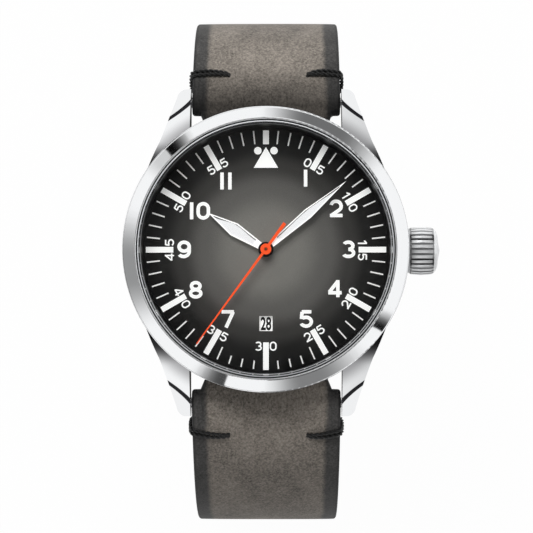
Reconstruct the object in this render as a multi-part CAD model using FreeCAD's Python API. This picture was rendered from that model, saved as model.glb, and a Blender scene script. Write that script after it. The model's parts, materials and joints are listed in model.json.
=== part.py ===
import FreeCAD, Part
import math
import os

# A pilot watch on its strap. Millimetres, +Z out of the dial, +Y towards 12, +X towards the crown.
# The origin is the middle of the flat outer face of the display case back.

V = FreeCAD.Vector
os.makedirs("parts", exist_ok=True)

# Case
bezel_radius = 20.5
case_radius = 20.2
case_bottom = 1.4
case_top = 9.6
lug_gap = 22.0
lug_tip_y = 23.9
between_lugs_y = 18.3
between_lugs_top = 8.2
back_thickness = 2.35
back_flange_radius = 18.2
back_thread_radius = 17.85
back_gasket_outer = 17.8
back_gasket_inner = 17.45
back_seat = 2.6
back_glass_radius = 13.8
cavity_radius = 17.4
neck_radius = 18.05
bezel_wall_top = 11.05
bezel_top = 12.3
bezel_inner = 18.5
crystal_radius = 18.4
crystal_seat = 10.9
crystal_dome = 12.75

# Dial and hands
dial_bottom = 8.0
dial_top = 8.4
dial_radius = 17.9
print_height = 0.04
marker_height = 0.08
hour_hand_angle = 302.4
minute_hand_angle = 49.65
seconds_hand_angle = 216.1
hour_hand_level = 9.0
minute_hand_level = 9.5
seconds_hand_level = 9.95
hand_thickness = 0.16
bar_outer, bar_inner, bar_wide = 17.25, 13.3, 0.82
minute_outer, minute_inner, minute_wide = 17.2, 15.3, 0.2
short_minutes = (27, 28, 29, 31, 32, 33)
short_inner = 16.0
date_y = -10.6
date_wide, date_tall = 1.9, 2.15
hour_number_high = 2.45
hour_number_stroke = 0.5
hour_number_gap = 0.35
hour_number_places = {
    "1": (5.7, 10.3), "2": (10.1, 5.95), "3": (11.9, 0.05), "4": (9.9, -5.6), "5": (5.8, -9.95),
    "7": (-5.45, -9.95), "8": (-10.05, -5.75), "9": (-11.75, 0.05), "10": (-9.55, 5.6), "11": (-5.75, 9.9),
}
minute_number_radius = 13.85
minute_number_high = 1.32
minute_number_stroke = 0.21
minute_number_apart = 1.05
upside_down_hours = (4, 5, 6, 7, 8)
hour_pipe_radius = 0.85
cannon_radius = 0.56
hour_hand_shape = dict(
    length=9.8, widest=1.97, widest_at=5.4, neck=0.8, hub=1.1, inlay_start=1.9, inlay_end=8.9, frame=0.2)
minute_hand_shape = dict(
    length=15.07, widest=1.44, widest_at=7.9, neck=0.75, hub=0.95, inlay_start=2.3, inlay_end=13.9, frame=0.17)
seconds_length, seconds_root, seconds_tip = 16.8, 0.38, 0.16
seconds_tail, seconds_tail_wide = 4.6, 0.5
seconds_hub, seconds_bore = 0.78, 0.17
seconds_thickness = 0.1

# Movement, from the rotor up to the date disc
plate_radius = 12.8
plate_bottom = 6.2
plate_top = 7.4
rim_bottom = 4.7
rim_radius = 11.3
bridge_radius = 10.9
bridge_low = 3.55
bridge_high = 4.1
pivot_radius = 0.12
pivot_play = 0.03
arbor_radius = 0.2
train_module = 0.12

# Crown and stem
crown_z = 5.8
crown_start = 20.45
crown_end = 25.1
crown_radius = 3.485
crown_flutes = 28
stem_radius = 0.5
tube_radius = 1.4

# Strap
bar_y = 21.9
bar_z = 2.9
bar_radius = 0.75
loop_radius = 2.0
tab_reach = 3.4
tab_half_width = 9.2
strap_width = 21.6
strap_end_width = 20.0
taper_length = 75.0
face_thickness = 1.25
lining_thickness = 1.25
lining_at_lug = 2.7
padding_length = 14.0
edge_soften = 0.3
start_slope = 20.0
lean = 12.0
foot_radius = 12.0
foot_level = -58.0
bulge_12 = 34.7
bulge_6 = 38.65
length_12 = 74.5
length_6 = 101.0
cord_radius = 0.3
cord_hole_left = 5.2
cord_hole_right = 5.8
cord_place_12, cord_slant_12 = 3.5, -0.03
cord_place_6, cord_slant_6 = 4.3, -0.16
punched_first, punched_step, punched_count = 56.0, 6.5, 7
punched_radius = 0.95
fixed_keeper_place, free_keeper_place = 62.0, 44.0
keeper_wall = 0.7
keeper_play = 0.2
keeper_under, fixed_keeper_over, free_keeper_over = -1.75, 3.9, 4.3
keeper_length = 5.5

# Buckle
buckle_inner_half = 10.35
buckle_outer_half = 12.1
buckle_reach = 11.5


def cylinder(radius, low, high, x=0.0, y=0.0):
    return Part.makeCylinder(radius, high - low, V(x, y, low))


def ring(outer, inner, low, high, x=0.0, y=0.0):
    return cylinder(outer, low, high, x, y).cut(cylinder(inner, low - 1, high + 1, x, y))


def block(x0, x1, y0, y1, z0, z1):
    return Part.makeBox(x1 - x0, y1 - y0, z1 - z0, V(x0, y0, z0))


def polygon_face(points):
    return Part.Face(Part.makePolygon(points + [points[0]]))


def prism(outline, low, high):
    """A flat outline of (x, y) points, raised from low to high."""
    face = polygon_face([V(x, y, low) for x, y in outline])
    return face.extrude(V(0, 0, high - low))


def turned(profile, x=0.0, y=0.0):
    """A closed profile of (radius, z) points turned about a vertical axis."""
    face = polygon_face([V(r, 0, z) for r, z in profile])
    solid = face.revolve(V(0, 0, 0), V(0, 0, 1), 360)
    solid.translate(V(x, y, 0))
    return solid


def turned_about_x(profile, z):
    """A closed profile of (x, radius) points turned about a line along X at the height z."""
    face = polygon_face([V(x, 0, r) for x, r in profile])
    solid = face.revolve(V(0, 0, 0), V(1, 0, 0), 360)
    solid.translate(V(0, 0, z))
    return solid


def along_x(radius, x0, x1, y, z):
    return Part.makeCylinder(radius, x1 - x0, V(x0, y, z), V(1, 0, 0))


def fuse(solids):
    joined = solids[0]
    for solid in solids[1:]:
        joined = joined.fuse(solid)
    return joined.removeSplitter()


def cut_all(solid, tools):
    for tool in tools:
        solid = solid.cut(tool)
    return solid


def sector(inner, outer, start, end, low, high):
    """Part of a ring between two angles in degrees."""
    whole = ring(outer, inner, low, high) if inner > 0 else cylinder(outer, low, high)
    steps = 4
    reach = outer * 1.6
    turns = [math.radians(start + (end - start) * i / steps) for i in range(steps + 1)]
    fan = [(0, 0)] + [(reach * math.cos(t), reach * math.sin(t)) for t in turns]
    return whole.common(prism(fan, low - 1, high + 1))


def bar_between(p, q, width, low, high):
    """A straight flat bar from p to q, each (x, y)."""
    length = math.hypot(q[0] - p[0], q[1] - p[1])
    side = (-(q[1] - p[1]) / length * width / 2, (q[0] - p[0]) / length * width / 2)
    outline = [
        (p[0] + side[0], p[1] + side[1]),
        (p[0] - side[0], p[1] - side[1]),
        (q[0] - side[0], q[1] - side[1]),
        (q[0] + side[0], q[1] + side[1]),
    ]
    return prism(outline, low, high)


def polar(radius, degrees, centre=(0.0, 0.0)):
    angle = math.radians(degrees)
    return centre[0] + radius * math.cos(angle), centre[1] + radius * math.sin(angle)


def on_dial(solid, clock_degrees):
    """Turn a solid that was built at 12 o'clock to its clockwise angle on the dial."""
    solid.rotate(V(0, 0, 0), V(0, 0, 1), -clock_degrees)
    return solid


written = {}


def save(node, solids):
    pieces = [solid for item in solids for solid in item.Solids]
    shape = pieces[0] if len(pieces) == 1 else Part.makeCompound(pieces)
    if not shape.isValid():
        raise ValueError(node + " is not a valid solid")
    shape.exportStep("parts/" + node + ".step")
    written[node] = len(pieces)


# Toothed wheels

def tooth_outline(teeth, module, phase, leaf=False):
    """Outline of a toothed wheel with one tooth centred on the angle phase, in radians."""
    middle = teeth * module / 2
    pitch = 2 * math.pi / teeth
    tip = middle + module * (0.75 if leaf else 0.95)
    root = middle - module * 1.3
    shares = (0.24, 0.2, 0.09) if leaf else (0.27, 0.21, 0.08)
    flank = list(zip((root, middle, tip), shares))
    outline = []
    for i in range(teeth):
        centre = phase + i * pitch
        rising = [(r, centre - share * pitch) for r, share in flank]
        falling = [(r, centre + share * pitch) for r, share in reversed(flank)]
        outline += [(r * math.cos(a), r * math.sin(a)) for r, a in rising + falling]
    return outline


def toothed(teeth, module, low, high, at=(0.0, 0.0), phase=0.0, leaf=False):
    wheel = prism(tooth_outline(teeth, module, phase, leaf), low, high)
    wheel.translate(V(at[0], at[1], 0))
    return wheel


def spoked(teeth, module, low, high, at, phase, spokes):
    """A toothed wheel with an open centre, spokes and a hub."""
    wheel = toothed(teeth, module, low, high, at, phase)
    inner = teeth * module / 2 - module * 1.3 - 0.35
    hub = 0.62
    wheel = wheel.cut(ring(inner, hub, low - 1, high + 1, *at))
    ends = [polar(inner + 0.1, 360 * i / spokes, at) for i in range(spokes)]
    arms = [bar_between(at, end, 0.32, low, high) for end in ends]
    return fuse([wheel] + arms)


def meshed_phase(phase, teeth, direction, other_teeth):
    """Phase of the wheel that a wheel of the given phase meets in the given direction."""
    ahead = (direction - phase) * teeth / (2 * math.pi)
    return direction + math.pi + (0.5 + ahead) * 2 * math.pi / other_teeth


def arbor(at, low, high, radius=arbor_radius, pivot=0.45):
    """A steel arbor between the bridge and the plate, with a thin pivot at each end."""
    body = cylinder(radius, low, high, *at)
    return fuse([body, cylinder(pivot_radius, low - pivot, high + pivot, *at)])


# Case, crystal and case back

def arc_edge(a, b, c):
    return Part.Arc(a, b, c).toShape()


def line_edge(a, b):
    return Part.LineSegment(a, b).toShape()


def lug(x_side, y_side):
    """One lug: its plan outline crossed with its side outline, then a facet cut across its tip."""
    half_gap = lug_gap / 2
    root = V(half_gap, 0, -1)
    outer = [V(19.5, 3.0, -1), V(17.9, 9.2, -1), V(15.3, 15.6, -1)]
    corner = [V(13.0, 22.6, -1), V(12.65, 23.45, -1), V(11.9, lug_tip_y, -1)]
    inner_tip = V(half_gap, lug_tip_y, -1)
    edges = [
        line_edge(root, outer[0]),
        arc_edge(*outer),
        arc_edge(outer[2], V(13.95, 19.4, -1), corner[0]),
        arc_edge(*corner),
        line_edge(corner[2], inner_tip),
        line_edge(inner_tip, root),
    ]
    from_above = Part.Face(Part.Wire(edges)).extrude(V(0, 0, 14))
    top = [V(0, 10.5, 9.3), V(0, 18.6, 7.6), V(0, lug_tip_y, 3.6)]
    under = [V(0, 16.0, case_bottom), V(0, 21.0, 0.75), V(0, 23.0, 0.25)]
    side = [
        line_edge(V(0, 0, 9.3), top[0]),
        arc_edge(*top),
        line_edge(top[2], V(0, lug_tip_y, 1.0)),
        line_edge(V(0, lug_tip_y, 1.0), under[2]),
        arc_edge(under[2], under[1], under[0]),
        line_edge(under[0], V(0, 0, case_bottom)),
        line_edge(V(0, 0, case_bottom), V(0, 0, 9.3)),
    ]
    from_side = Part.Face(Part.Wire(side)).extrude(V(30, 0, 0))
    body = from_above.common(from_side)
    facet_line = (V(14.0, 19.4, 7.2), V(11.0, 22.15, 5.32), V(12.9, 23.6, 2.6))
    normal = (facet_line[1] - facet_line[0]).cross(facet_line[2] - facet_line[0])
    normal.normalize()
    if normal.z < 0:
        normal = normal * -1
    cutter = Part.makeBox(20, 20, 20, V(-10, -10, 0))
    turn = FreeCAD.Rotation(V(0, 0, 1), normal)
    cutter.Placement = FreeCAD.Placement(facet_line[0], turn).multiply(cutter.Placement)
    body = body.cut(cutter)
    if x_side < 0:
        body = body.mirror(V(0, 0, 0), V(1, 0, 0))
    if y_side < 0:
        body = body.mirror(V(0, 0, 0), V(0, 1, 0))
    return body


def case_middle():
    edge = 0.35
    drum = turned([
        (0, case_bottom),
        (case_radius - 1.1, case_bottom),
        (case_radius - edge, case_bottom + 0.9),
        (case_radius, case_bottom + 1.6),
        (case_radius, case_top - edge),
        (case_radius - edge, case_top),
        (0, case_top),
    ])
    body = fuse([drum] + [lug(i, j) for i in (1, -1) for j in (1, -1)])
    half_gap = lug_gap / 2
    for side in (1, -1):
        near, far = sorted((side * between_lugs_y, side * 30))
        body = body.cut(block(-half_gap, half_gap, near, far, -5, between_lugs_top))
        near, far = sorted((side * case_radius, side * 30))
        body = body.cut(block(-half_gap, half_gap, near, far, -5, 15))
    body = body.cut(cylinder(back_thread_radius, case_bottom - 1, back_seat))
    body = body.cut(cylinder(cavity_radius, 2, dial_bottom))
    body = body.cut(cylinder(neck_radius, dial_bottom, case_top + 1))
    for side in (1, -1):
        bar_hole = along_x(0.42, -half_gap - 1.1, half_gap + 1.1, side * bar_y, bar_z)
        body = body.cut(bar_hole)
    return body.cut(along_x(tube_radius, 15, 22, 0, crown_z))


def bezel():
    """The polished ring: an upright wall, a softened edge and one broad slope up to the crystal."""
    edge = V(bezel_radius - 0.16, 0, bezel_wall_top + 0.17)
    middle = V((edge.x + bezel_inner + 0.3) / 2, 0, bezel_top - 0.43)
    shoulder = V(bezel_inner + 0.3, 0, bezel_top)
    lip = V(bezel_inner, 0, bezel_top - 0.02)
    edges = [
        line_edge(V(neck_radius, 0, case_top), V(bezel_radius, 0, case_top)),
        line_edge(V(bezel_radius, 0, case_top), V(bezel_radius, 0, bezel_wall_top)),
        arc_edge(V(bezel_radius, 0, bezel_wall_top), V(bezel_radius - 0.05, 0, bezel_wall_top + 0.12), edge),
        arc_edge(edge, middle, shoulder),
        arc_edge(shoulder, V(bezel_inner + 0.14, 0, bezel_top + 0.05), lip),
        line_edge(lip, V(bezel_inner, 0, crystal_seat)),
        line_edge(V(bezel_inner, 0, crystal_seat), V(neck_radius, 0, crystal_seat)),
        line_edge(V(neck_radius, 0, crystal_seat), V(neck_radius, 0, case_top)),
    ]
    return Part.Face(Part.Wire(edges)).revolve(V(0, 0, 0), V(0, 0, 1), 360)


def cap_sphere(top, drop, at_radius):
    """A ball whose top is on the axis and which falls away by drop at the given radius."""
    radius = (at_radius ** 2 + drop ** 2) / (2 * drop)
    return Part.makeSphere(radius, V(0, 0, top - radius))


def crystal():
    """A slightly domed sapphire plate with a small bevel round its edge."""
    blank = turned([
        (0, crystal_seat), (crystal_radius, crystal_seat), (crystal_radius, 12.15), (17.85, 12.5), (0, 13.5),
    ])
    domed = blank.common(cap_sphere(crystal_dome, 0.33, 18.0))
    return domed.cut(cap_sphere(crystal_seat + 0.45, 0.45, 17.6))


def case_back():
    body = turned([
        (14.0, 0),
        (back_flange_radius - 0.5, 0),
        (back_flange_radius, 0.5),
        (back_flange_radius, case_bottom),
        (back_thread_radius, case_bottom),
        (back_thread_radius, back_thickness),
        (13.2, back_thickness),
        (13.2, 1.5),
        (14.0, 1.5),
    ])
    notches = []
    for i in range(6):
        notch = block(-1.1, 1.1, 16.9, 20, -1, 0.6)
        notches.append(on_dial(notch, 60 * i + 30))
    return cut_all(body, notches)


def case_parts():
    save("case_middle", [case_middle()])
    save("bezel", [bezel()])
    save("crystal", [crystal()])
    save("crystal_gasket", [ring(18.5, crystal_radius, crystal_seat, 12.0)])
    save("case_back", [case_back()])
    save("back_crystal", [cylinder(back_glass_radius, 0, 1.5)])
    save("back_crystal_gasket", [ring(14.0, back_glass_radius, 0.25, 1.5)])
    save("case_back_gasket", [ring(back_gasket_outer, back_gasket_inner, back_thickness, back_seat)])
    flange = turned([(18.0, dial_top), (18.0, 10.85), (17.82, 10.85), (17.62, dial_top)])
    save("flange_ring", [flange])


# Dial, its marks and the hands

def dial():
    plate = ring(dial_radius, 0.95, dial_bottom, dial_top)
    window = block(-date_wide / 2, date_wide / 2, date_y - date_tall / 2, date_y + date_tall / 2, 7, 9)
    return plate.cut(window)


def raised(outline, height=marker_height):
    return prism(outline, dial_top, dial_top + height)


def upright_bar(wide, inner, outer, height=marker_height):
    half = wide / 2
    return raised([(-half, inner), (half, inner), (half, outer), (-half, outer)], height)


def hour_markers():
    marks = [on_dial(upright_bar(bar_wide, bar_inner, bar_outer), 30 * hour) for hour in range(1, 12)]
    marks.append(upright_bar(0.85, 15.2, 17.2))
    marks.append(raised([(-1.75, 11.8), (1.75, 11.8), (0, 14.8)]))
    for x in (-1.16, 1.16):
        marks.append(cylinder(0.54, dial_top, dial_top + marker_height, x, 14.27))
    return marks


def minute_marks():
    marks = []
    for minute in range(60):
        if minute % 5 == 0:
            continue
        inner = short_inner if minute in short_minutes else minute_inner
        marks.append(on_dial(upright_bar(minute_wide, inner, minute_outer, print_height), 6 * minute))
    return marks


# Plain figures drawn with strokes on a field 0.78 wide and 1 high. A stroke is a line of points, or an
# arc given by its centre, its two radii and its first and last angle. The figure i is a one with a flag.
figures = {
    "0": [("arc", 0.38, 0.62, 0.3, 0.3, 0, 180), ("line", (0.08, 0.62), (0.08, 0.38)),
          ("arc", 0.38, 0.38, 0.3, 0.3, 180, 360), ("line", (0.68, 0.38), (0.68, 0.62))],
    "1": [("line", (0.38, 0.0), (0.38, 1.0))],
    "i": [("line", (0.5, 0.0), (0.5, 1.0)), ("line", (0.46, 0.92), (0.2, 0.7))],
    "2": [("arc", 0.38, 0.62, 0.3, 0.3, -35, 165), ("line", (0.63, 0.45), (0.1, 0.08)),
          ("line", (0.02, 0.08), (0.76, 0.08))],
    "3": [("arc", 0.36, 0.71, 0.27, 0.21, -90, 150), ("arc", 0.36, 0.29, 0.31, 0.21, -150, 90)],
    "4": [("line", (0.56, 0.0), (0.56, 1.0)), ("line", (0.56, 0.94), (0.06, 0.3)),
          ("line", (0.0, 0.26), (0.78, 0.26))],
    "5": [("line", (0.12, 0.92), (0.68, 0.92)), ("line", (0.14, 0.92), (0.1, 0.5)),
          ("arc", 0.37, 0.34, 0.31, 0.26, -155, 135)],
    "7": [("line", (0.02, 0.92), (0.74, 0.92)), ("line", (0.7, 0.92), (0.28, 0.0))],
    "8": [("arc", 0.38, 0.72, 0.25, 0.2, 0, 360), ("arc", 0.38, 0.29, 0.3, 0.21, 0, 360)],
    "9": [("arc", 0.39, 0.66, 0.3, 0.26, 0, 360), ("arc", 0.36, 0.38, 0.33, 0.3, -140, 0),
          ("line", (0.69, 0.38), (0.69, 0.66))],
}
figure_wide = 0.78


def stroke_outline(points, half):
    """Outline of a polyline as wide as twice half, mitred at its corners."""
    left, right = [], []
    for i, (x, y) in enumerate(points):
        before = points[max(i - 1, 0)]
        after = points[min(i + 1, len(points) - 1)]
        dx, dy = after[0] - before[0], after[1] - before[1]
        size = math.hypot(dx, dy)
        left.append((x - dy / size * half, y + dx / size * half))
        right.append((x + dy / size * half, y - dx / size * half))
    return left + right[::-1]


def figure_strokes(figure, high, stroke):
    """The strokes of one figure as raised solids, its lower left corner at the origin."""
    solids = []
    half = stroke / 2
    for kind, *shape in figures[figure]:
        if kind == "line":
            points = [(x * high, y * high) for x, y in shape]
            solids.append(raised(stroke_outline(points, half)))
            continue
        cx, cy, rx, ry, start, end = shape
        steps = max(6, round((end - start) / 15))
        closed = end - start == 360
        count = steps if closed else steps + 1
        angles = [math.radians(start + (end - start) * i / steps) for i in range(count)]
        outer, inner = [], []
        for a in angles:
            for line, shift in ((outer, half), (inner, -half)):
                x = cx * high + (rx * high + shift) * math.cos(a)
                y = cy * high + (ry * high + shift) * math.sin(a)
                line.append((x, y))
        if closed:
            solids.append(raised(outer).cut(prism(inner, dial_top - 1, dial_top + 1)))
        else:
            solids.append(raised(outer + inner[::-1]))
    return solids


def number(text, high, stroke, spacing):
    """A number as raised solids, its middle at the origin."""
    advance = {figure: (0.32 if figure == "1" else figure_wide) * high for figure in text}
    width = sum(advance[figure] for figure in text) + spacing * (len(text) - 1)
    x = -width / 2
    solids = []
    for figure in text:
        shift = x - (0.22 * high if figure == "1" else 0)
        for stroke_solid in figure_strokes(figure, high, stroke):
            stroke_solid.translate(V(shift, -high / 2, 0))
            solids.append(stroke_solid)
        x += advance[figure] + spacing
    return fuse(solids)


def numerals():
    solids = []
    for text, (x, y) in hour_number_places.items():
        shape = number(text, hour_number_high, hour_number_stroke, hour_number_gap)
        shape.translate(V(x, y, 0))
        solids.append(shape)
    for hour in range(1, 12):
        flipped = hour in upside_down_hours
        text = ("%02d" % (5 * hour)).replace("1", "i")
        for place, figure in zip((-minute_number_apart, minute_number_apart), text):
            shape = number(figure, minute_number_high, minute_number_stroke, 0)
            shape.translate(V(place, 0, 0))
            if flipped:
                shape.rotate(V(0, 0, 0), V(0, 0, 1), 180)
            shape.translate(V(0, minute_number_radius, 0))
            solids.append(on_dial(shape, 30 * hour))
    return solids


def hand_outline(length, widest, widest_at, neck, start):
    right = [(widest / 2, widest_at), (neck / 2, start)]
    left = [(-x, y) for x, y in reversed(right)]
    return left + [(0, length)] + right


def framed_hand(length, widest, widest_at, neck, hub, bore, level, angle, inlay_start, inlay_end, frame):
    """A pointed hand with a window, and the inlay that fills the window."""
    low, high = level, level + hand_thickness
    blade = prism(hand_outline(length, widest, widest_at, neck, 0), low, high)
    body = fuse([blade, cylinder(hub, low, high)]).cut(cylinder(bore, low - 1, high + 1))
    grow = (widest / 2 - neck / 2) / widest_at
    start_half = neck / 2 + grow * inlay_start - frame
    window = [
        (-start_half, inlay_start),
        (-(widest / 2 - frame), widest_at),
        (-0.04, inlay_end),
        (0.04, inlay_end),
        (widest / 2 - frame, widest_at),
        (start_half, inlay_start),
    ]
    body = body.cut(prism(window, low - 1, high + 1))
    inlay = prism(window, low, high - 0.02)
    return on_dial(body, angle), on_dial(inlay, angle)


def hands():
    body, inlay = framed_hand(bore=hour_pipe_radius, level=hour_hand_level, angle=hour_hand_angle, **hour_hand_shape)
    save("hour_hand", [body])
    save("hour_hand_inlay", [inlay])
    body, inlay = framed_hand(bore=cannon_radius, level=minute_hand_level, angle=minute_hand_angle, **minute_hand_shape)
    save("minute_hand", [body])
    save("minute_hand_inlay", [inlay])
    low, high = seconds_hand_level, seconds_hand_level + seconds_thickness
    root, tip, end = seconds_root / 2, seconds_tip / 2, seconds_tail_wide / 2
    blade = prism([(-root, 0), (root, 0), (tip, seconds_length), (-tip, seconds_length)], low, high)
    tail = prism([(-root, 0), (root, 0), (end, -seconds_tail), (-end, -seconds_tail)], low, high)
    hub = cylinder(seconds_hub, low, high + seconds_thickness)
    hand = fuse([blade, tail, hub]).cut(cylinder(seconds_bore, low - 1, high + 1))
    save("seconds_hand", [on_dial(hand, seconds_hand_angle)])


def date_disc():
    """The ring that carries the dates, with a tooth for each date on its inner edge."""
    outline = []
    days = 31
    for i in range(days):
        for radius, share in ((9.0, 0.0), (9.0, 0.6), (8.65, 0.7), (8.65, 0.9)):
            angle = 2 * math.pi * (i + share) / days
            outline.append((radius * math.cos(angle), radius * math.sin(angle)))
    return cylinder(12.3, 7.65, 7.8).cut(prism(outline, 7, 9))


def dial_parts():
    save("dial", [dial()])
    save("hour_markers", hour_markers())
    save("minute_marks", minute_marks())
    save("numerals", numerals())
    save("date_disc", [date_disc()])
    hands()


# Movement

barrel_at = polar(45 * train_module, 200)
third_angle = 110.0
third_module = 2 * 36 * train_module / 68
third_at = polar(36 * train_module, third_angle)
escape_angle = 20.0
escape_module = 0.095
escape_at = polar(44 * escape_module, escape_angle)
pallet_at = polar(2.9, -60, escape_at)
balance_at = polar(3.6, -75, pallet_at)
minute_wheel_angle = 250.0
minute_wheel_at = polar(24 * train_module, minute_wheel_angle)
bridge_screw_places = [polar(9.9, angle) for angle in (60, 140, 262, 285)]
pivots = [barrel_at, third_at, escape_at, pallet_at, balance_at]


def pivot_hole(at, low, high, radius=pivot_radius + pivot_play):
    return cylinder(radius, low, high, *at)


def main_plate():
    body = fuse([
        cylinder(plate_radius, plate_bottom, plate_top),
        ring(plate_radius, rim_radius, rim_bottom, plate_bottom),
    ] + [cylinder(0.85, bridge_high, plate_bottom + 0.1, *at) for at in bridge_screw_places])
    body = body.cut(cylinder(5.45, 6.9, plate_top + 1))
    body = body.fuse(cylinder(0.2, 6.8, 7.62, *minute_wheel_at))
    body = body.cut(cylinder(0.45, 6, 8))
    body = body.cut(block(7.3, rim_radius + 0.2, -1.2, 1.2, 4, 6.95))
    body = body.cut(along_x(stem_radius + 0.05, 11, 14, 0, crown_z))
    holes = [pivot_hole(at, plate_bottom - 1, plate_top + 1) for at in pivots]
    return cut_all(body, holes)


def train_bridge():
    body = sector(0, bridge_radius, 12, 270, bridge_low, bridge_high)
    body = fuse([
        body,
        cylinder(1.8, bridge_low, bridge_high),
        cylinder(0.9, bridge_low, bridge_high, *escape_at),
    ])
    holes = [pivot_hole(at, 3, 5) for at in (barrel_at, third_at, escape_at, (0, 0))]
    holes += [cylinder(0.36, 3, 5, *at) for at in bridge_screw_places[:3]]
    return cut_all(body, holes)


def balance_cock():
    body = sector(3.2, bridge_radius, 276, 352, bridge_low, bridge_high)
    body = body.cut(cylinder(0.36, 3, 5, *bridge_screw_places[3]))
    return cut_all(body, [pivot_hole(at, 3, 5) for at in (pallet_at, balance_at)])


def automatic_bridge():
    low, high = 3.15, bridge_low
    arms = [bar_between((0, 0), polar(8.4, angle), 2.4, low, high) for angle in (100, 180)]
    ends = [cylinder(1.2, low, high, *polar(8.4, angle)) for angle in (100, 180)]
    return fuse([cylinder(2.7, low, high)] + arms + ends)


def running_train():
    barrel_phase = 0.0
    barrel = fuse([
        toothed(80, train_module, 5.7, 6.0, barrel_at, barrel_phase),
        cylinder(4.4, 5.05, 5.9, *barrel_at),
        arbor(barrel_at, 4.15, 6.15, 0.55),
    ])
    save("barrel", [barrel])
    centre_phase = meshed_phase(barrel_phase, 80, math.radians(20), 10)
    centre = fuse([
        spoked(64, train_module, 4.75, 4.93, (0, 0), 0.0, 4),
        toothed(10, train_module, 5.55, 6.1, (0, 0), centre_phase, True),
        cylinder(0.4, 4.7, 8.9),
    ]).cut(cylinder(arbor_radius + 0.03, 4, 10))
    save("centre_wheel", [centre])
    third_pinion_phase = meshed_phase(0.0, 64, math.radians(third_angle), 8)
    third = fuse([
        spoked(60, third_module, 4.48, 4.62, third_at, 0.0, 4),
        toothed(8, train_module, 4.62, 5.0, third_at, third_pinion_phase, True),
        arbor(third_at, 4.15, 6.15),
    ])
    save("third_wheel", [third])
    fourth_phase = meshed_phase(0.0, 60, math.radians(third_angle + 180), 8)
    fourth = fuse([
        spoked(80, escape_module, 4.25, 4.39, (0, 0), 0.0, 4),
        toothed(8, third_module, 4.39, 4.65, (0, 0), fourth_phase, True),
        cylinder(arbor_radius, 4.15, 9.2),
        cylinder(pivot_radius, 3.7, 4.2),
        cylinder(0.17, 9.1, 10.12),
    ])
    save("fourth_wheel", [fourth])
    escape_phase = meshed_phase(0.0, 80, math.radians(escape_angle), 8)
    claws = []
    teeth = 20
    for i in range(teeth):
        for radius, share in ((1.75, 0.0), (2.2, 0.35), (2.2, 0.5), (1.75, 0.45)):
            angle = 2 * math.pi * (i + share) / teeth
            claws.append((radius * math.cos(angle), radius * math.sin(angle)))
    wheel = prism(claws, 5.05, 5.15)
    wheel = wheel.cut(ring(1.5, 0.5, 5, 6))
    wheel = fuse([wheel] + [bar_between((0, 0), polar(1.6, 90 * i), 0.25, 5.05, 5.15) for i in range(4)])
    wheel.translate(V(escape_at[0], escape_at[1], 0))
    pinion = toothed(8, escape_module, 4.2, 4.44, escape_at, escape_phase, True)
    save("escape_wheel", [fuse([wheel, pinion, arbor(escape_at, 4.15, 6.15)])])


def escapement():
    low, high = 5.05, 5.2
    to_escape = 120.0
    arms = []
    for side in (1, -1):
        stone = polar(2.42, to_escape + 180 + side * 34, escape_at)
        arms.append(bar_between(pallet_at, stone, 0.3, low, high))
    fork_end = polar(2.7, -75, pallet_at)
    arms.append(bar_between(pallet_at, fork_end, 0.3, low, high))
    fork = fuse(arms + [cylinder(0.35, low, high, *fork_end)])
    slot = bar_between(polar(2.6, -75, pallet_at), polar(3.2, -75, pallet_at), 0.16, low - 1, high + 1)
    save("pallet_fork", [fuse([fork.cut(slot), arbor(pallet_at, 4.15, 6.15, 0.17)])])
    rim = ring(3.4, 3.0, 4.5, 4.9, *balance_at)
    cross_bar = bar_between(polar(3.1, 20, balance_at), polar(3.1, 200, balance_at), 0.35, 4.6, 4.8)
    roller = cylinder(0.5, 4.8, 5.2, *balance_at)
    save("balance_wheel", [fuse([rim, cross_bar, roller, arbor(balance_at, 4.15, 6.15, 0.17)])])
    save("hairspring", [hairspring()])


def hairspring():
    """A flat spiral ribbon made of half circles, each a little wider than the one before."""
    thickness, growth, half_turns = 0.09, 0.13, 12
    low, high = 4.2, 4.36
    sides = []
    for offset in (0.0, thickness):
        radius = 0.62 + offset
        centre = 0.0
        edges = []
        for i in range(half_turns):
            up = 1 if i % 2 == 0 else -1
            start, end = centre + up * radius, centre - up * radius
            edges.append(arc_edge(V(start, 0, low), V(centre, up * radius, low), V(end, 0, low)))
            next_radius = radius + growth
            centre = end + up * next_radius
            radius = next_radius
            tail = end
        sides.append((edges, tail))
    caps = [
        line_edge(V(0.62, 0, low), V(0.62 + thickness, 0, low)),
        line_edge(V(sides[0][1], 0, low), V(sides[1][1], 0, low)),
    ]
    wire = Part.Wire(Part.__sortEdges__(sides[0][0] + sides[1][0] + caps))
    ribbon = Part.Face(wire).extrude(V(0, 0, high - low))
    ribbon.translate(V(balance_at[0], balance_at[1], 0))
    return ribbon


def motion_works():
    cannon_phase = 0.0
    cannon = fuse([
        cylinder(cannon_radius, 6.95, 9.8),
        toothed(12, train_module, 7.0, 7.28, (0, 0), cannon_phase, True),
    ])
    save("cannon_pinion", [cannon.cut(cylinder(0.4, 6, 8.9)).cut(cylinder(0.25, 8, 10))])
    direction = math.radians(minute_wheel_angle)
    wheel_phase = meshed_phase(cannon_phase, 12, direction, 36)
    pinion_module = 24 * train_module / 25
    wheel = fuse([
        toothed(36, train_module, 7.0, 7.2, minute_wheel_at, wheel_phase),
        toothed(10, pinion_module, 7.2, 7.6, minute_wheel_at, 0.0, True),
    ]).cut(cylinder(0.24, 6, 9, *minute_wheel_at))
    save("minute_wheel", [wheel])
    hour_phase = meshed_phase(0.0, 10, direction + math.pi, 40)
    hour = fuse([
        toothed(40, pinion_module, 7.36, 7.56, (0, 0), hour_phase),
        cylinder(hour_pipe_radius, 7.36, 9.2),
    ])
    save("hour_wheel", [hour.cut(cylinder(cannon_radius + 0.05, 6, 10))])


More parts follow.
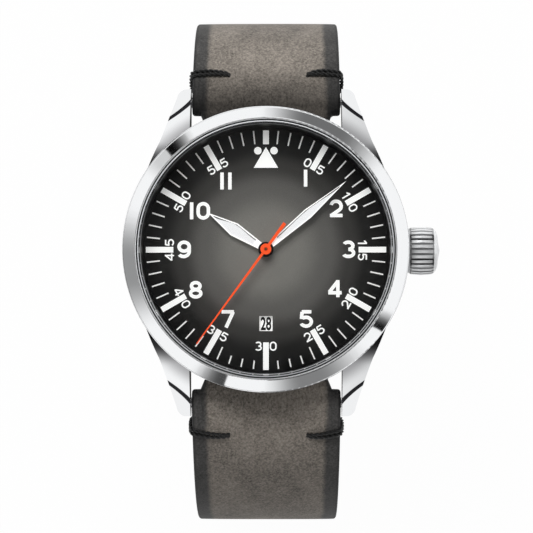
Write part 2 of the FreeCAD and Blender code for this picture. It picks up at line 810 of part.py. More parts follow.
def winding():
    web = sector(0, 12.6, 180, 360, 2.75, 3.05)
    rim = sector(11.2, 12.6, 180, 360, 2.75, 3.9)
    rotor = fuse([web, rim, cylinder(2.4, 2.75, 3.05)])
    openings = [sector(3.4, 10.2, angle, angle + 50, 2, 4) for angle in (190, 245, 300)]
    save("rotor", [cut_all(rotor, openings).cut(cylinder(1.28, 2, 4))])
    inner = fuse([cylinder(0.9, 2.65, 3.15), cylinder(0.45, 2.5, 2.7)])
    groove = Part.makeTorus(1.09, 0.19, V(0, 0, 2.9), V(0, 0, 1))
    save("rotor_bearing", [inner.cut(groove).cut(block(-0.5, 0.5, -0.06, 0.06, 2.4, 2.6))])
    balls = [Part.makeSphere(0.17, V(*polar(1.09, 360 * i / 7), 2.9)) for i in range(7)]
    save("bearing_balls", balls)


def slotted_screw(at, head_low, head_high, head, shank, shank_end):
    body = fuse([cylinder(head, head_low, head_high, *at), cylinder(shank, head_low, shank_end, *at)])
    x, y = at
    slot = block(x - head - 1, x + head + 1, y - 0.09, y + 0.09, head_low - 1, head_low + 0.12)
    return body.cut(slot)


def fixings():
    screws = [slotted_screw(at, 3.25, bridge_low, 0.6, 0.36, bridge_high) for at in bridge_screw_places]
    save("bridge_screws", screws)
    clamp_angles = (45, 165, 285)
    clamps, clamp_screws = [], []
    for angle in clamp_angles:
        inner, outer = polar(11.9, angle), polar(15.0, angle)
        clamp = bar_between(inner, outer, 2.2, 4.4, 4.7).cut(cylinder(0.42, 4, 5, *polar(14.0, angle)))
        clamps.append(clamp)
        clamp_screws.append(slotted_screw(polar(14.0, angle), 4.05, 4.4, 0.7, 0.42, 5.6))
    save("movement_clamps", clamps)
    save("clamp_screws", clamp_screws)
    holder = ring(17.35, 12.85, 4.7, 7.6).fuse(ring(17.35, 15.2, 3.2, 4.7)).removeSplitter()
    holder = cut_all(holder, [cylinder(0.42, 4, 5.6, *polar(14.0, angle)) for angle in clamp_angles])
    save("movement_ring", [holder.cut(along_x(0.62, 12, 19, 0, crown_z))])


def movement_parts():
    save("main_plate", [main_plate()])
    save("train_bridge", [train_bridge()])
    save("balance_cock", [balance_cock()])
    save("automatic_bridge", [automatic_bridge()])
    running_train()
    escapement()
    motion_works()
    winding()
    fixings()


# Crown, stem and what they turn

def crown():
    """A barrel of revolution cut to a fluted outline, with a plain domed end."""
    tooth = []
    for i in range(crown_flutes):
        for radius, share in ((3.2, 0.0), (crown_radius, 0.22), (crown_radius, 0.62), (3.2, 0.84)):
            angle = 2 * math.pi * (i + share) / crown_flutes
            tooth.append(V(0, radius * math.cos(angle), radius * math.sin(angle) + crown_z))
    flute_end = 24.2
    section = polygon_face([point + V(crown_start, 0, 0) for point in tooth])
    fluted = section.extrude(V(flute_end - crown_start, 0, 0))
    middle = (crown_start + flute_end) / 2
    barrel = turned_about_x([
        (crown_start, 0), (crown_start, 3.1), (crown_start + 0.5, 3.36), (middle, crown_radius),
        (flute_end - 0.4, 3.38), (flute_end, 3.22), (flute_end, 0),
    ], crown_z)
    grip = fluted.common(barrel)
    cap = turned_about_x([
        (flute_end, 0), (flute_end, 3.06), (24.5, 2.9), (24.72, 2.3), (24.82, 1.4), (crown_end, 0),
    ], crown_z)
    body = fuse([grip, cap])
    body = body.cut(along_x(tube_radius + 0.06, 20, 22.4, 0, crown_z))
    body = body.cut(along_x(1.95, 21.0, 21.5, 0, crown_z))
    return body.cut(along_x(stem_radius, 20, 23.4, 0, crown_z))


def crown_parts():
    save("crown", [crown()])
    gasket = along_x(1.95, 21.0, 21.5, 0, crown_z).cut(along_x(tube_radius + 0.02, 20, 22, 0, crown_z))
    save("crown_gasket", [gasket])
    tube = along_x(tube_radius, 17.5, 21.9, 0, crown_z).cut(along_x(0.62, 17, 23, 0, crown_z))
    save("crown_tube", [tube])
    groove = along_x(0.8, 8.7, 8.95, 0, crown_z).cut(along_x(0.3, 8, 9.5, 0, crown_z))
    stem = along_x(stem_radius, 7.7, 23.4, 0, crown_z).cut(groove)
    save("stem", [stem])
    for node, x0, x1, teeth in (("sliding_pinion", 7.8, 8.6, 14), ("winding_pinion", 9.05, 9.95, 16)):
        pinion = prism(tooth_outline(teeth, 0.1, 0.0, True), 0, x1 - x0)
        pinion.rotate(V(0, 0, 0), V(0, 1, 0), 90)
        pinion.translate(V(x0, 0, crown_z))
        save(node, [pinion.cut(along_x(stem_radius, x0 - 1, x1 + 1, 0, crown_z))])
    lever = fuse([block(8.75, 8.9, 0.36, 1.7, 5.62, 5.98), block(8.4, 9.6, 1.3, 2.6, 5.62, 5.98)])
    save("setting_lever", [lever])


# Strap

def strap_route(bulge):
    """Arcs of the strap's middle line, from the bar to the foot: start, heading, radius, length.

    The line leaves the bar sloping down, turns to upright at the bulge, leans in, and turns flat
    at the foot. Only the leaning arc's radius is worked out, so that the foot reaches its level.
    """
    heading = math.radians(-start_slope)
    rise = loop_radius - face_thickness
    y = bar_y - rise * math.sin(heading)
    z = bar_z + rise * math.cos(heading)
    first = (bulge - y) / (1 + math.sin(heading))
    upright_z = z - first * math.cos(heading)
    leant = math.radians(lean)
    drop = upright_z - foot_level - foot_radius * (1 - math.sin(leant))
    second = drop / math.sin(leant)
    turns = ((first, math.pi / 2 + heading), (second, leant), (foot_radius, math.pi / 2 - leant))
    route = []
    for radius, turn in turns:
        route.append((y, z, heading, radius, radius * turn))
        y, z, heading = along_arc(y, z, heading, radius, radius * turn)
    route.append((y, z, heading, None, 1000.0))
    return route


def along_arc(y, z, heading, radius, distance):
    if radius is None:
        return y + distance * math.cos(heading), z + distance * math.sin(heading), heading
    end = heading - distance / radius
    y += radius * (math.sin(heading) - math.sin(end))
    z -= radius * (math.cos(heading) - math.cos(end))
    return y, z, end


def route_point(route, distance):
    """Place and heading at a distance along the route."""
    for y, z, heading, radius, length in route:
        if distance <= length:
            return along_arc(y, z, heading, radius, distance)
        distance -= length


def half_width(distance):
    share = min(max(distance / taper_length, 0), 1)
    return (strap_width + (strap_end_width - strap_width) * share) / 2


def local_point(route, side, distance, across, out):
    """A point of the strap: distance along it, across it in X, and out from its middle line."""
    y, z, heading = route_point(route, distance)
    y -= out * math.sin(heading)
    z += out * math.cos(heading)
    return V(across, side * y, z)


def strap_section(route, side, distance, high, end_share=1.0):
    """A flat layer's section from the middle line to the height high, its outer corners softened."""
    half = half_width(distance) * end_share
    shoulder = high - math.copysign(edge_soften, high)
    shape = [
        (-half, 0), (half, 0), (half, shoulder), (half - edge_soften, high),
        (-half + edge_soften, high), (-half, shoulder),
    ]
    points = [local_point(route, side, distance, x, n) for x, n in shape]
    return Part.makePolygon(points + [points[0]])


def lining_depth(distance):
    share = min(max((distance - 1.5) / padding_length, 0), 1)
    ease = share * share * (3 - 2 * share)
    return lining_at_lug + (lining_thickness - lining_at_lug) * ease


def stations(first, last, step=2.0):
    count = max(2, round((last - first) / step))
    return [first + (last - first) * i / count for i in range(count + 1)]


def strap_layers(route, side, length, pointed):
    """The face leather with its loop round the spring bar, and the lining under it."""
    ends = [(s, 1.0) for s in stations(0, length)]
    if pointed:
        ends = [(s, 1.0) for s in stations(0, length - 9)]
        ends += [(length - 6, 0.93), (length - 3, 0.72), (length - 0.8, 0.4)]
    face = Part.makeLoft([strap_section(route, side, s, face_thickness, e) for s, e in ends], True, False)
    half = half_width(0)
    loop = along_x(loop_radius, -half, half, side * bar_y, bar_z)
    bore = along_x(bar_radius + 0.05, -half - 1, half + 1, side * bar_y, bar_z)
    near, far = sorted((side * (bar_y - 5), side * bar_y))
    tab = along_x(tab_reach, -tab_half_width, tab_half_width, side * bar_y, bar_z)
    tab = tab.common(block(-half, half, near, far, bar_z - 1.4, bar_z + 1.75))
    face = fuse([face, loop, tab]).cut(bore)
    lining_ends = [(s, e) for s, e in ends if s > 1.5]
    wires = [strap_section(route, side, s, -lining_depth(s), e) for s, e in lining_ends]
    lining = Part.makeLoft(wires, True, False).cut(loop)
    return face, lining


def through_strap(route, side, distance, radius, x=0.0):
    """A round tool that passes through both layers."""
    start = local_point(route, side, distance, x, -4)
    end = local_point(route, side, distance, x, 4)
    return Part.makeCylinder(radius, 8, start, end - start)


def cord_path(points):
    """Straight runs joined by tangent arcs, each as large as its two runs allow."""
    edges = []
    radii = []
    here = points[0]
    for i in range(1, len(points) - 1):
        back = points[i - 1] - points[i]
        ahead = points[i + 1] - points[i]
        short = min(back.Length, ahead.Length)
        back.normalize()
        ahead.normalize()
        turn = math.pi - back.getAngle(ahead)
        inset = 0.45 * short
        radii.append(inset / math.tan(turn / 2))
        start, end = points[i] + back * inset, points[i] + ahead * inset
        bisector = back + ahead
        bisector.normalize()
        centre_distance = math.hypot(inset, radii[-1])
        middle = points[i] + bisector * (centre_distance - radii[-1])
        edges.append(line_edge(here, start))
        edges.append(arc_edge(start, middle, end))
        here = end
    edges.append(line_edge(here, points[-1]))
    return Part.Wire(edges), radii


def cord_tube(points):
    path, radii = cord_path(points)
    direction = points[1] - points[0]
    circle = Part.Wire(Part.Circle(points[0], direction, cord_radius).toShape())
    tube = path.makePipeShell([circle], True, False)
    print("cord radii", [round(r, 2) for r in radii], "length", round(path.Length, 2))
    return tube


def sewn_cords(route, side, distance, slant):
    """Two strands on each side of the strap, from a hole in the face round the edge to the lining."""
    solids = []
    for x_side in (1, -1):
        for strand in (0, 1):
            shift = 0.62 * strand
            half = half_width(distance)
            top = face_thickness + cord_radius
            under = -lining_depth(distance) - cord_radius
            hole = cord_hole_right if x_side > 0 else cord_hole_left
            places = [
                (hole, 0.35, -0.2 + 0.3 * strand),
                (hole + 0.25, top + 0.05, -0.1 + 0.2 * strand),
                (8.2, top + 0.1, shift),
                (half - 0.3, top - 0.05, shift),
                (half + cord_radius, top - 0.6, shift),
                (half + cord_radius, under + 0.6, shift),
                (half - 0.4, under, shift),
                (half - 2.6, under, shift),
            ]
            points = [
                local_point(route, side, distance + s + slant * (x - hole), x_side * x, n)
                for x, n, s in places
            ]
            solids.append(cord_tube(points))
    return solids


def loop_frame(route, side, distance, width, height_low, height_high, wall, length):
    """A rectangular leather loop round the strap, square to it."""
    y, z, heading = route_point(route, distance)
    outer = block(
        -length / 2, length / 2, -width - wall, width + wall, height_low - wall, height_high + wall)
    inner = block(-length / 2 - 1, length / 2 + 1, -width, width, height_low, height_high)
    long_edges = [e for e in outer.Edges if abs(e.Vertexes[0].X - e.Vertexes[-1].X) > length / 2]
    frame = outer.makeFillet(wall * 0.8, long_edges).cut(inner)
    return placed(frame, side, y, z, heading)


def placed(shape, side, y, z, heading):
    """Move a shape drawn along +X with +Z outwards to the strap, where it runs along the route."""
    along = V(0, math.cos(heading), math.sin(heading))
    out = V(0, -math.sin(heading), math.cos(heading))
    across = out.cross(along)
    matrix = FreeCAD.Matrix(
        along.x, across.x, out.x, 0,
        along.y, across.y, out.y, y,
        along.z, across.z, out.z, z,
        0, 0, 0, 1,
    )
    shape = shape.copy()
    shape.transformShape(matrix)
    if side < 0:
        shape = shape.mirror(V(0, 0, 0), V(0, 1, 0))
    return shape


def buckle_frame():
    """The frame, drawn along +X from its bar, with rounded corners and a dip for the tongue."""
    low, high = -0.9, 0.9
    outer = block(-1.4, buckle_reach, -buckle_outer_half, buckle_outer_half, low, high)
    corners = [e for e in outer.Edges
               if abs(e.Vertexes[0].Z - e.Vertexes[-1].Z) > 1 and e.Vertexes[0].X > 0]
    outer = outer.makeFillet(4.0, corners)
    inner = block(-3, buckle_reach - 2.2, -buckle_inner_half, buckle_inner_half, low - 1, high + 1)
    frame = outer.cut(inner)
    rounded = [e for e in frame.Edges if abs(e.Vertexes[0].Z - e.Vertexes[-1].Z) < 0.01 and e.Length > 3]
    frame = frame.makeFillet(0.45, rounded)
    ends = along_y(0.42, -buckle_outer_half + 0.6, buckle_outer_half - 0.6, 0, 0)
    dip = block(buckle_reach - 4, buckle_reach + 2, -1.15, 1.15, 0.48, 2)
    return frame.cut(ends).cut(dip)


def along_y(radius, y0, y1, x, z):
    return Part.makeCylinder(radius, y1 - y0, V(x, y0, z), V(0, 1, 0))


def buckle_tongue():
    """A flat pointed tongue with an eye round the bar, resting in the frame's dip."""
    eye = along_y(1.25, -0.95, 0.95, 0, 0)
    blade = block(0, buckle_reach - 0.1, -0.95, 0.95, 0.55, 1.25)
    tip = [e for e in blade.Edges if abs(e.Vertexes[0].Z - e.Vertexes[-1].Z) > 0.5 and e.Vertexes[0].X > 1]
    blade = blade.makeFillet(0.8, tip)
    return fuse([eye, blade]).cut(along_y(0.63, -2, 2, 0, 0))


def buckle_parts(route):
    """The buckle at the end of the half on the 12 o'clock side."""
    y, z, heading = route_point(route, length_12)
    save("buckle_frame", [placed(buckle_frame(), 1, y, z, heading)])
    save("buckle_tongue", [placed(buckle_tongue(), 1, y, z, heading)])
    bar = fuse([
        along_y(0.55, -buckle_inner_half + 0.1, buckle_inner_half - 0.1, 0, 0),
        along_y(0.35, -buckle_outer_half + 0.8, buckle_outer_half - 0.8, 0, 0),
    ])
    save("buckle_bar", [placed(bar, 1, y, z, heading)])
    print("buckle bar at", round(y, 3), round(z, 3), "heading", round(math.degrees(heading), 2))
    eye = along_y(face_thickness, -half_width(length_12), half_width(length_12), 0, 0)
    gap = block(-2.2, 4, -1.2, 1.2, -4, 4)
    bore = along_y(0.6, -15, 15, 0, 0)
    return [placed(item, 1, y, z, heading) for item in (eye, gap, bore)]


def spring_bars():
    bars = []
    half_gap = lug_gap / 2
    for side in (1, -1):
        bars.append(fuse([
            along_x(bar_radius, -half_gap + 0.1, half_gap - 0.1, side * bar_y, bar_z),
            along_x(0.4, -half_gap - 0.9, half_gap + 0.9, side * bar_y, bar_z),
        ]))
    return bars


def strap_parts():
    route_12, route_6 = strap_route(bulge_12), strap_route(bulge_6)
    face, lining = strap_layers(route_12, 1, length_12, False)
    eye, gap, bore = buckle_parts(route_12)
    face = fuse([face, eye]).cut(gap).cut(bore)
    lining = lining.cut(eye).cut(gap).cut(bore)
    save("strap_face_12", [face])
    save("strap_lining_12", [lining])
    face, lining = strap_layers(route_6, -1, length_6, True)
    for i in range(punched_count):
        hole = through_strap(route_6, -1, punched_first + punched_step * i, punched_radius)
        face = face.cut(hole)
        lining = lining.cut(hole)
    save("strap_face_6", [face])
    save("strap_lining_6", [lining])
    save("cords_12", sewn_cords(route_12, 1, cord_place_12, cord_slant_12))
    save("cords_6", sewn_cords(route_6, -1, cord_place_6, cord_slant_6))
    room = half_width(fixed_keeper_place)
    fixed = loop_frame(
        route_12, 1, fixed_keeper_place, room + keeper_play, keeper_under, fixed_keeper_over, keeper_wall, keeper_length)
    save("fixed_keeper", [fixed])
    room = half_width(free_keeper_place)
    free = loop_frame(
        route_12, 1, free_keeper_place, room + keeper_play, keeper_under, free_keeper_over, keeper_wall, keeper_length)
    save("free_keeper", [free])
    save("spring_bars", spring_bars())
    y, z, heading = route_point(route_12, free_keeper_place)
    print("free keeper at", round(y, 3), round(z, 3))
    print("free keeper runs along", round(math.cos(heading), 5), round(math.sin(heading), 5))


case_parts()
dial_parts()
movement_parts()
crown_parts()
strap_parts()
print(len(written), "nodes")
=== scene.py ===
import bmesh
import bpy
import json
import math
from mathutils import Matrix, Vector


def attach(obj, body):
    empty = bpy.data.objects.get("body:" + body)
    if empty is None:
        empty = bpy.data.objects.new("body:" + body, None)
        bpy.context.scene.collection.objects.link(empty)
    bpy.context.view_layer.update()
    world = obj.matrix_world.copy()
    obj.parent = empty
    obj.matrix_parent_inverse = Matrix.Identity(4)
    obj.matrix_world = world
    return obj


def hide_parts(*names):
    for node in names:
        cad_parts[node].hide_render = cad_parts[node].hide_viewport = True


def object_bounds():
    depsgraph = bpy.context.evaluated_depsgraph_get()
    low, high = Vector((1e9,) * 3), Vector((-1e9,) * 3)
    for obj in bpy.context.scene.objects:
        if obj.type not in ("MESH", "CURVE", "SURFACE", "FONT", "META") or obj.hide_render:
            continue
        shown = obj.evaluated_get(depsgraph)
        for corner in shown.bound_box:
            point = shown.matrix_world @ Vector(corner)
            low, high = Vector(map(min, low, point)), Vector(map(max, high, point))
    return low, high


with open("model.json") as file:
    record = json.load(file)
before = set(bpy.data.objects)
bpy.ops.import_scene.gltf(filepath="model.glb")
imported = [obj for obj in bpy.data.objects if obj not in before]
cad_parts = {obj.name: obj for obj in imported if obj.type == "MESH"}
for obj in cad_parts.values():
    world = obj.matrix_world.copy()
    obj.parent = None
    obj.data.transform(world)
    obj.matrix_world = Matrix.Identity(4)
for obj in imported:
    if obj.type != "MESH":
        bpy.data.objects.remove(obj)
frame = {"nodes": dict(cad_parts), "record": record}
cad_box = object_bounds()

# A pilot watch on its strap. Shapes are worked out in millimetres and scaled once, when a mesh is finished.
# +Z out of the dial, +Y towards 12, +X towards the crown.

mm = 0.001
sharp_above = 35.0
nodes = frame["nodes"]

# Strap, with the same measures as the model that it dresses
bar_y, bar_z = 21.9, 2.9
loop_radius = 2.0
face_thickness = 1.25
lining_thickness = 1.25
lining_at_lug = 2.7
padding_start, padding_length = 1.5, 14.0
strap_width, strap_end_width, taper_length = 21.6, 20.0, 75.0
start_slope = math.radians(20)
lean = math.radians(12)
foot_radius, foot_level = 12.0, -58.0
bulge_12, bulge_6 = 34.7, 38.65
length_12, length_6 = 74.5, 101.0
tab_half_width, tab_bulge, tab_soft = 9.2, 1.4, 0.12
tab_facing = (math.radians(20), math.radians(62))
holes_from, hole_step, hole_count, hole_radius = 56.0, 6.5, 7, 0.95
hole_sides, hole_depth, hole_reach, hole_near = 32, 10.0, 4.0, 0.03
tail_nose, tail_blunt, tail_power = 10.0, 0.06, 0.6
cord_holes = {-1: 5.2, 1: 5.8}
cord_places = {"12": (3.5, -0.03), "6": (4.3, -0.16)}
cord_radius, ply_radius, twist_pitch = 0.3, 0.175, 1.5
strand_apart, cord_step, ply_sides = 0.62, 0.13, 8
leather_round, lower_round, face_crown, lining_crown = 0.42, 0.12, 0.06, 0.05
face_overlap, lining_start, lining_inset = 1.1, 1.7, 0.1
keeper_wall, keeper_half_length, keeper_low, keeper_play = 0.7, 2.75, -1.75, 0.2
keeper_bend, keeper_round = 0.4, 0.22
fixed_keeper_place, fixed_keeper_high = 62.0, 3.9
free_keeper_place, free_keeper_high = 44.0, 4.3

# Case and dial, with the same measures as the model
lug_facet = ((14.0, 19.4, 7.2), (11.0, 22.15, 5.32), (12.9, 23.6, 2.6))
bezel_radius, bezel_inner = 20.5, 18.5
flange_outer = 18.0
dial_radius = 17.9
hour_hand_angle, minute_hand_angle = 302.4, 49.65
rotor_stripe = 1.7
crown_height = 5.8
crown_grip_start, crown_grip_end = 20.75, 24.1
crown_grip_low, crown_grip_high = 3.28, 3.46
date_ring_radius, date_ring_top = 10.6, 7.8
date_shown, date_count = 28, 31
date_figure_height, date_figure_squeeze, date_figure_bold = 1.95, 0.6, 0.03
date_print = 0.012

# Depths below the lug's facet where its painted dark crease line, a painted reflection, starts, is full,
# fades and ends, and the same for the painted highlight inside the flange's rim. The steel of the lugs gets
# painted shade as far as this from the bezel.
painted_crease_reflection = (0.006, 0.02, 0.24, 0.28)
painted_flange_highlight = (0.18, 0.16, 0.06, 0.03)
bezel_shade = 2.4

# Windows of the hands: where they start, are widest and end, and half their width at each. Their frames
# are black within the first of the two radii, and bright outside the second.
hour_window = (1.9, 5.4, 8.9, 0.405, 0.785, 0.04)
minute_window = (2.3, 7.9, 13.9, 0.305, 0.55, 0.04)
hub_black = (1.08, 1.16)


# Small tools for meshes

def soften(mesh, degrees=sharp_above):
    """Shade a mesh smooth, but for the edges that are sharper than this."""
    mesh.shade_smooth()
    mesh.set_sharp_from_angle(angle=math.radians(degrees))


def finished(name, bm, material, body=None, degrees=sharp_above):
    """Make an object of a bmesh in millimetres, and let it ride on a body if one is named."""
    bmesh.ops.scale(bm, vec=(mm, mm, mm), verts=bm.verts)
    bmesh.ops.recalc_face_normals(bm, faces=bm.faces)
    mesh = bpy.data.meshes.new(name)
    bm.to_mesh(mesh)
    bm.free()
    mesh.materials.append(material)
    soften(mesh, degrees)
    piece = bpy.data.objects.new(name, mesh)
    bpy.context.scene.collection.objects.link(piece)
    if body:
        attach(piece, body)
    return piece


def swept(sections, closed=False):
    """A skin through a list of sections, all with the same number of points, closed off at its two ends."""
    bm = bmesh.new()
    place = bm.verts.layers.int.new("place")
    made = bmesh.ops.create_circle(bm, segments=len(sections[0]), radius=1)
    for i, vert in enumerate(made["verts"]):
        vert[place] = i
        vert.co = sections[0][i]
    first = list(bm.edges)
    ring = first
    for section in sections[1:]:
        made = bmesh.ops.extrude_edge_only(bm, edges=ring)
        fresh = {item for item in made["geom"] if isinstance(item, bmesh.types.BMVert)}
        ring = [edge for edge in bm.edges if edge.verts[0] in fresh and edge.verts[1] in fresh]
        for vert in fresh:
            vert.co = section[vert[place]]
    if closed:
        bmesh.ops.bridge_loops(bm, edges=first + ring)
    else:
        bmesh.ops.edgeloop_fill(bm, edges=first)
        bmesh.ops.edgeloop_fill(bm, edges=ring)
    return bm


def smooth_step(value, start, end):
    share = min(max((value - start) / (end - start), 0.0), 1.0)
    return share * share * (3 - 2 * share)


# Small tools for shaders

def srgb(red, green, blue):
    """A colour given as it looks, from 0 to 255."""
    def linear(value):
        value /= 255
        return value / 12.92 if value <= 0.04045 else ((value + 0.055) / 1.055) ** 2.4
    return linear(red), linear(green), linear(blue), 1.0


def put(tree, kind, sockets=None, **settings):
    """Add a node, set it up and link or fill its sockets."""
    item = tree.nodes.new(kind)
    for name, value in settings.items():
        setattr(item, name, value)
    for name, value in (sockets or {}).items():
        if isinstance(value, bpy.types.NodeSocket):
            tree.links.new(value, item.inputs[name])
        else:
            item.inputs[name].default_value = value
    return item


def calc(tree, operation, a, b=0.0):
    return put(tree, "ShaderNodeMath", {0: a, 1: b}, operation=operation).outputs[0]


def product(tree, a, b):
    return calc(tree, "MULTIPLY", a, b)


def blended(tree, factor, a, b):
    """Mix of two colours."""
    return put(tree, "ShaderNodeMix", {"Factor": factor, 6: a, 7: b}, data_type="RGBA").outputs[2]


def scaled(tree, colour, share):
    """A colour made darker or lighter."""
    start = colour if isinstance(colour, bpy.types.NodeSocket) else colour[:3]
    return put(tree, "ShaderNodeVectorMath", {0: start, "Scale": share}, operation="SCALE").outputs["Vector"]


def along_axis(tree, place, axis):
    """How far a point lies along an axis."""
    return put(tree, "ShaderNodeVectorMath", {0: place, 1: axis}, operation="DOT_PRODUCT").outputs["Value"]


def ranged(tree, value, low, high, to_low=0.0, to_high=1.0, interpolation="SMOOTHSTEP"):
    sockets = {"Value": value, "From Min": low, "From Max": high, "To Min": to_low, "To Max": to_high}
    return put(tree, "ShaderNodeMapRange", sockets, interpolation_type=interpolation).outputs["Result"]


def band(tree, value, start, full, fading, end):
    """1 from full to fading, and 0 before start and after end."""
    return product(tree, ranged(tree, value, start, full), ranged(tree, value, fading, end, 1.0, 0.0))


def noise(tree, vector, scale, detail=2.0, roughness=0.5):
    sockets = {"Vector": vector, "Scale": scale, "Detail": detail, "Roughness": roughness}
    return put(tree, "ShaderNodeTexNoise", sockets).outputs["Fac"]


def bumped(tree, height, distance, strength):
    sockets = {"Height": height, "Distance": distance, "Strength": strength}
    return put(tree, "ShaderNodeBump", sockets).outputs["Normal"]


def shader_mix(tree, factor, a, b):
    return put(tree, "ShaderNodeMixShader", {0: factor, 1: a, 2: b}).outputs["Shader"]


def parts_of(tree, vector):
    return put(tree, "ShaderNodeSeparateXYZ", {"Vector": vector}).outputs


def new_material(name, colour, roughness, metallic=0.0, **sockets):
    """A Principled material, its node tree and its shader."""
    material = bpy.data.materials.new(name)
    material.use_nodes = True
    tree = material.node_tree
    shader = tree.nodes["Principled BSDF"]
    shader.inputs["Base Color"].default_value = colour
    shader.inputs["Roughness"].default_value = roughness
    shader.inputs["Metallic"].default_value = metallic
    for socket, value in sockets.items():
        shader.inputs[socket.replace("_", " ")].default_value = value
    return material, tree, shader


def feed(tree, shader, **sockets):
    """Link what changes over the surface to the shader."""
    for socket, value in sockets.items():
        tree.links.new(value, shader.inputs[socket.replace("_", " ")])


def show(tree, shader_output):
    tree.links.new(shader_output, tree.nodes["Material Output"].inputs["Surface"])


def colour_ramp(tree, factor, stops, interpolation="LINEAR"):
    """A run of colours, each at its own share of the factor."""
    ramp = put(tree, "ShaderNodeValToRGB", {"Fac": factor})
    points = ramp.color_ramp.elements
    while len(points) < len(stops):
        points.new(0.5)
    for point, (place, colour) in zip(points, stops):
        point.position = place
        point.color = colour
    ramp.color_ramp.interpolation = interpolation
    return ramp.outputs["Color"]


def object_place(tree):
    return put(tree, "ShaderNodeTexCoord").outputs["Object"]


def group(name, inputs, outputs):
    """An empty shader node group with named number and vector sockets."""
    tree = bpy.data.node_groups.new(name, "ShaderNodeTree")
    kinds = {"value": "NodeSocketFloat", "vector": "NodeSocketVector"}
    for socket, kind in inputs.items():
        tree.interface.new_socket(socket, in_out="INPUT", socket_type=kinds[kind])
    for socket, kind in outputs.items():
        tree.interface.new_socket(socket, in_out="OUTPUT", socket_type=kinds[kind])
    return tree, tree.nodes.new("NodeGroupInput").outputs, tree.nodes.new("NodeGroupOutput")


# Effects that several materials share

def handling_marks():
    """Faint smears and fine scratches that vary how sharp a polished metal reflects."""
    inputs = {"Place": "vector", "Roughness": "value", "Amount": "value"}
    tree, given, out = group("handling marks", inputs, {"Roughness": "value"})
    smear = noise(tree, given["Place"], 130.0, 3.0)
    stretched = put(tree, "ShaderNodeMapping", {"Vector": given["Place"], "Scale": (1.0, 14.0, 1.0)})
    scratch = noise(tree, stretched.outputs["Vector"], 420.0, 2.0)
    both = product(tree, calc(tree, "ADD", smear, scratch), given["Amount"])
    tree.links.new(calc(tree, "ADD", both, given["Roughness"]), out.inputs["Roughness"])
    return tree


def radial_place():
    """Distance from an upright axis at the origin."""
    tree, given, out = group("round the axis", {"Place": "vector"}, {"Distance": "value"})
    parts = parts_of(tree, given["Place"])
    flat = put(tree, "ShaderNodeCombineXYZ", {"X": parts["X"], "Y": parts["Y"]})
    size = put(tree, "ShaderNodeVectorMath", {0: flat.outputs["Vector"]}, operation="LENGTH")
    tree.links.new(size.outputs["Value"], out.inputs["Distance"])
    return tree


def turned_lines():
    """Height and shade of fine turning lines round an upright axis."""
    inputs = {"Distance": "value", "Pitch": "value"}
    tree, given, out = group("turned lines", inputs, {"Height": "value", "Shade": "value"})
    step = calc(tree, "DIVIDE", given["Distance"], given["Pitch"])
    sockets = {"W": step, "Scale": 1.0, "Detail": 3.0}
    ripple = put(tree, "ShaderNodeTexNoise", sockets, noise_dimensions="1D").outputs["Fac"]
    tree.links.new(ripple, out.inputs["Height"])
    tree.links.new(ranged(tree, ripple, 0.3, 0.7, 0.85, 1.0), out.inputs["Shade"])
    return tree


def speckle():
    """Fine grain over a slow mottle, centred on one, for paint and leather."""
    inputs = {"Place": "vector", "Grain": "value", "Amount": "value"}
    tree, given, out = group("speckle", inputs, {"Shade": "value", "Height": "value"})
    fine = noise(tree, given["Place"], given["Grain"], 2.0, 0.7)
    slow = noise(tree, given["Place"], product(tree, given["Grain"], 0.05), 3.0, 0.6)
    spread = calc(tree, "SUBTRACT", calc(tree, "ADD", fine, product(tree, slow, 0.5)), 0.75)
    shade = calc(tree, "ADD", product(tree, spread, given["Amount"]), 1.0)
    tree.links.new(shade, out.inputs["Shade"])
    tree.links.new(fine, out.inputs["Height"])
    return tree


marks_group = handling_marks()
radial_group = radial_place()
turned_group = turned_lines()
speckle_group = speckle()


def in_group(tree, made, sockets):
    """Place a node group, and give its outputs."""
    return put(tree, "ShaderNodeGroup", sockets, node_tree=made).outputs


def from_axis(tree):
    return in_group(tree, radial_group, {"Place": object_place(tree)})["Distance"]


def speckled(tree, place, grain, amount):
    return in_group(tree, speckle_group, {"Place": place, "Grain": grain, "Amount": amount})


def add_marks(tree, shader, roughness, amount):
    sockets = {"Place": object_place(tree), "Roughness": roughness, "Amount": amount}
    feed(tree, shader, Roughness=in_group(tree, marks_group, sockets)["Roughness"])


# Materials of the case, dial and hands

polish_colour = (0.9, 0.91, 0.92, 1)
# Colours of painted shade: dark reflections and shadows, shaded lug steel, shaded lug facets, and the shadow
# round the bezel.
polish_shadow = (0.02, 0.02, 0.022, 1)
lug_shade = (0.42, 0.42, 0.43, 1)
facet_shade = (0.66, 0.66, 0.67, 1)
bezel_edge_shade = (0.16, 0.16, 0.17, 1)


def case_steel():
    """Polished steel, with a painted dark reflection along the crease beside the facet of each lug, painted
    shade on the lugs near the bezel, and painted grey shade on the facets.
    """
    material, tree, shader = new_material("case_steel", polish_colour, 0.05, 1.0)
    add_marks(tree, shader, 0.03, 0.02)
    folded = put(tree, "ShaderNodeVectorMath", {0: object_place(tree)}, operation="ABSOLUTE")
    a, b, c = (Vector(point) for point in lug_facet)
    normal = (c - a).cross(b - a).normalized()
    height = along_axis(tree, folded.outputs["Vector"], normal)
    below = calc(tree, "SUBTRACT", normal.dot(a) * mm, height)
    # Painted shade on the lug steel near the bezel.
    shade_beside_bezel = ranged(tree, from_axis(tree), bezel_radius * mm, (bezel_radius + bezel_shade) * mm)
    colour = blended(tree, shade_beside_bezel, lug_shade, polish_colour)
    # Painted grey shade on the facets of the lugs.
    facet = ranged(tree, below, -0.02 * mm, 0.006 * mm, 1.0, 0.0)
    colour = blended(tree, facet, colour, facet_shade)
    # A painted dark reflection along the crease beside each lug's facet.
    line = band(tree, below, *(depth * mm for depth in painted_crease_reflection))
    feed(tree, shader, Base_Color=blended(tree, line, colour, polish_shadow))
    return material


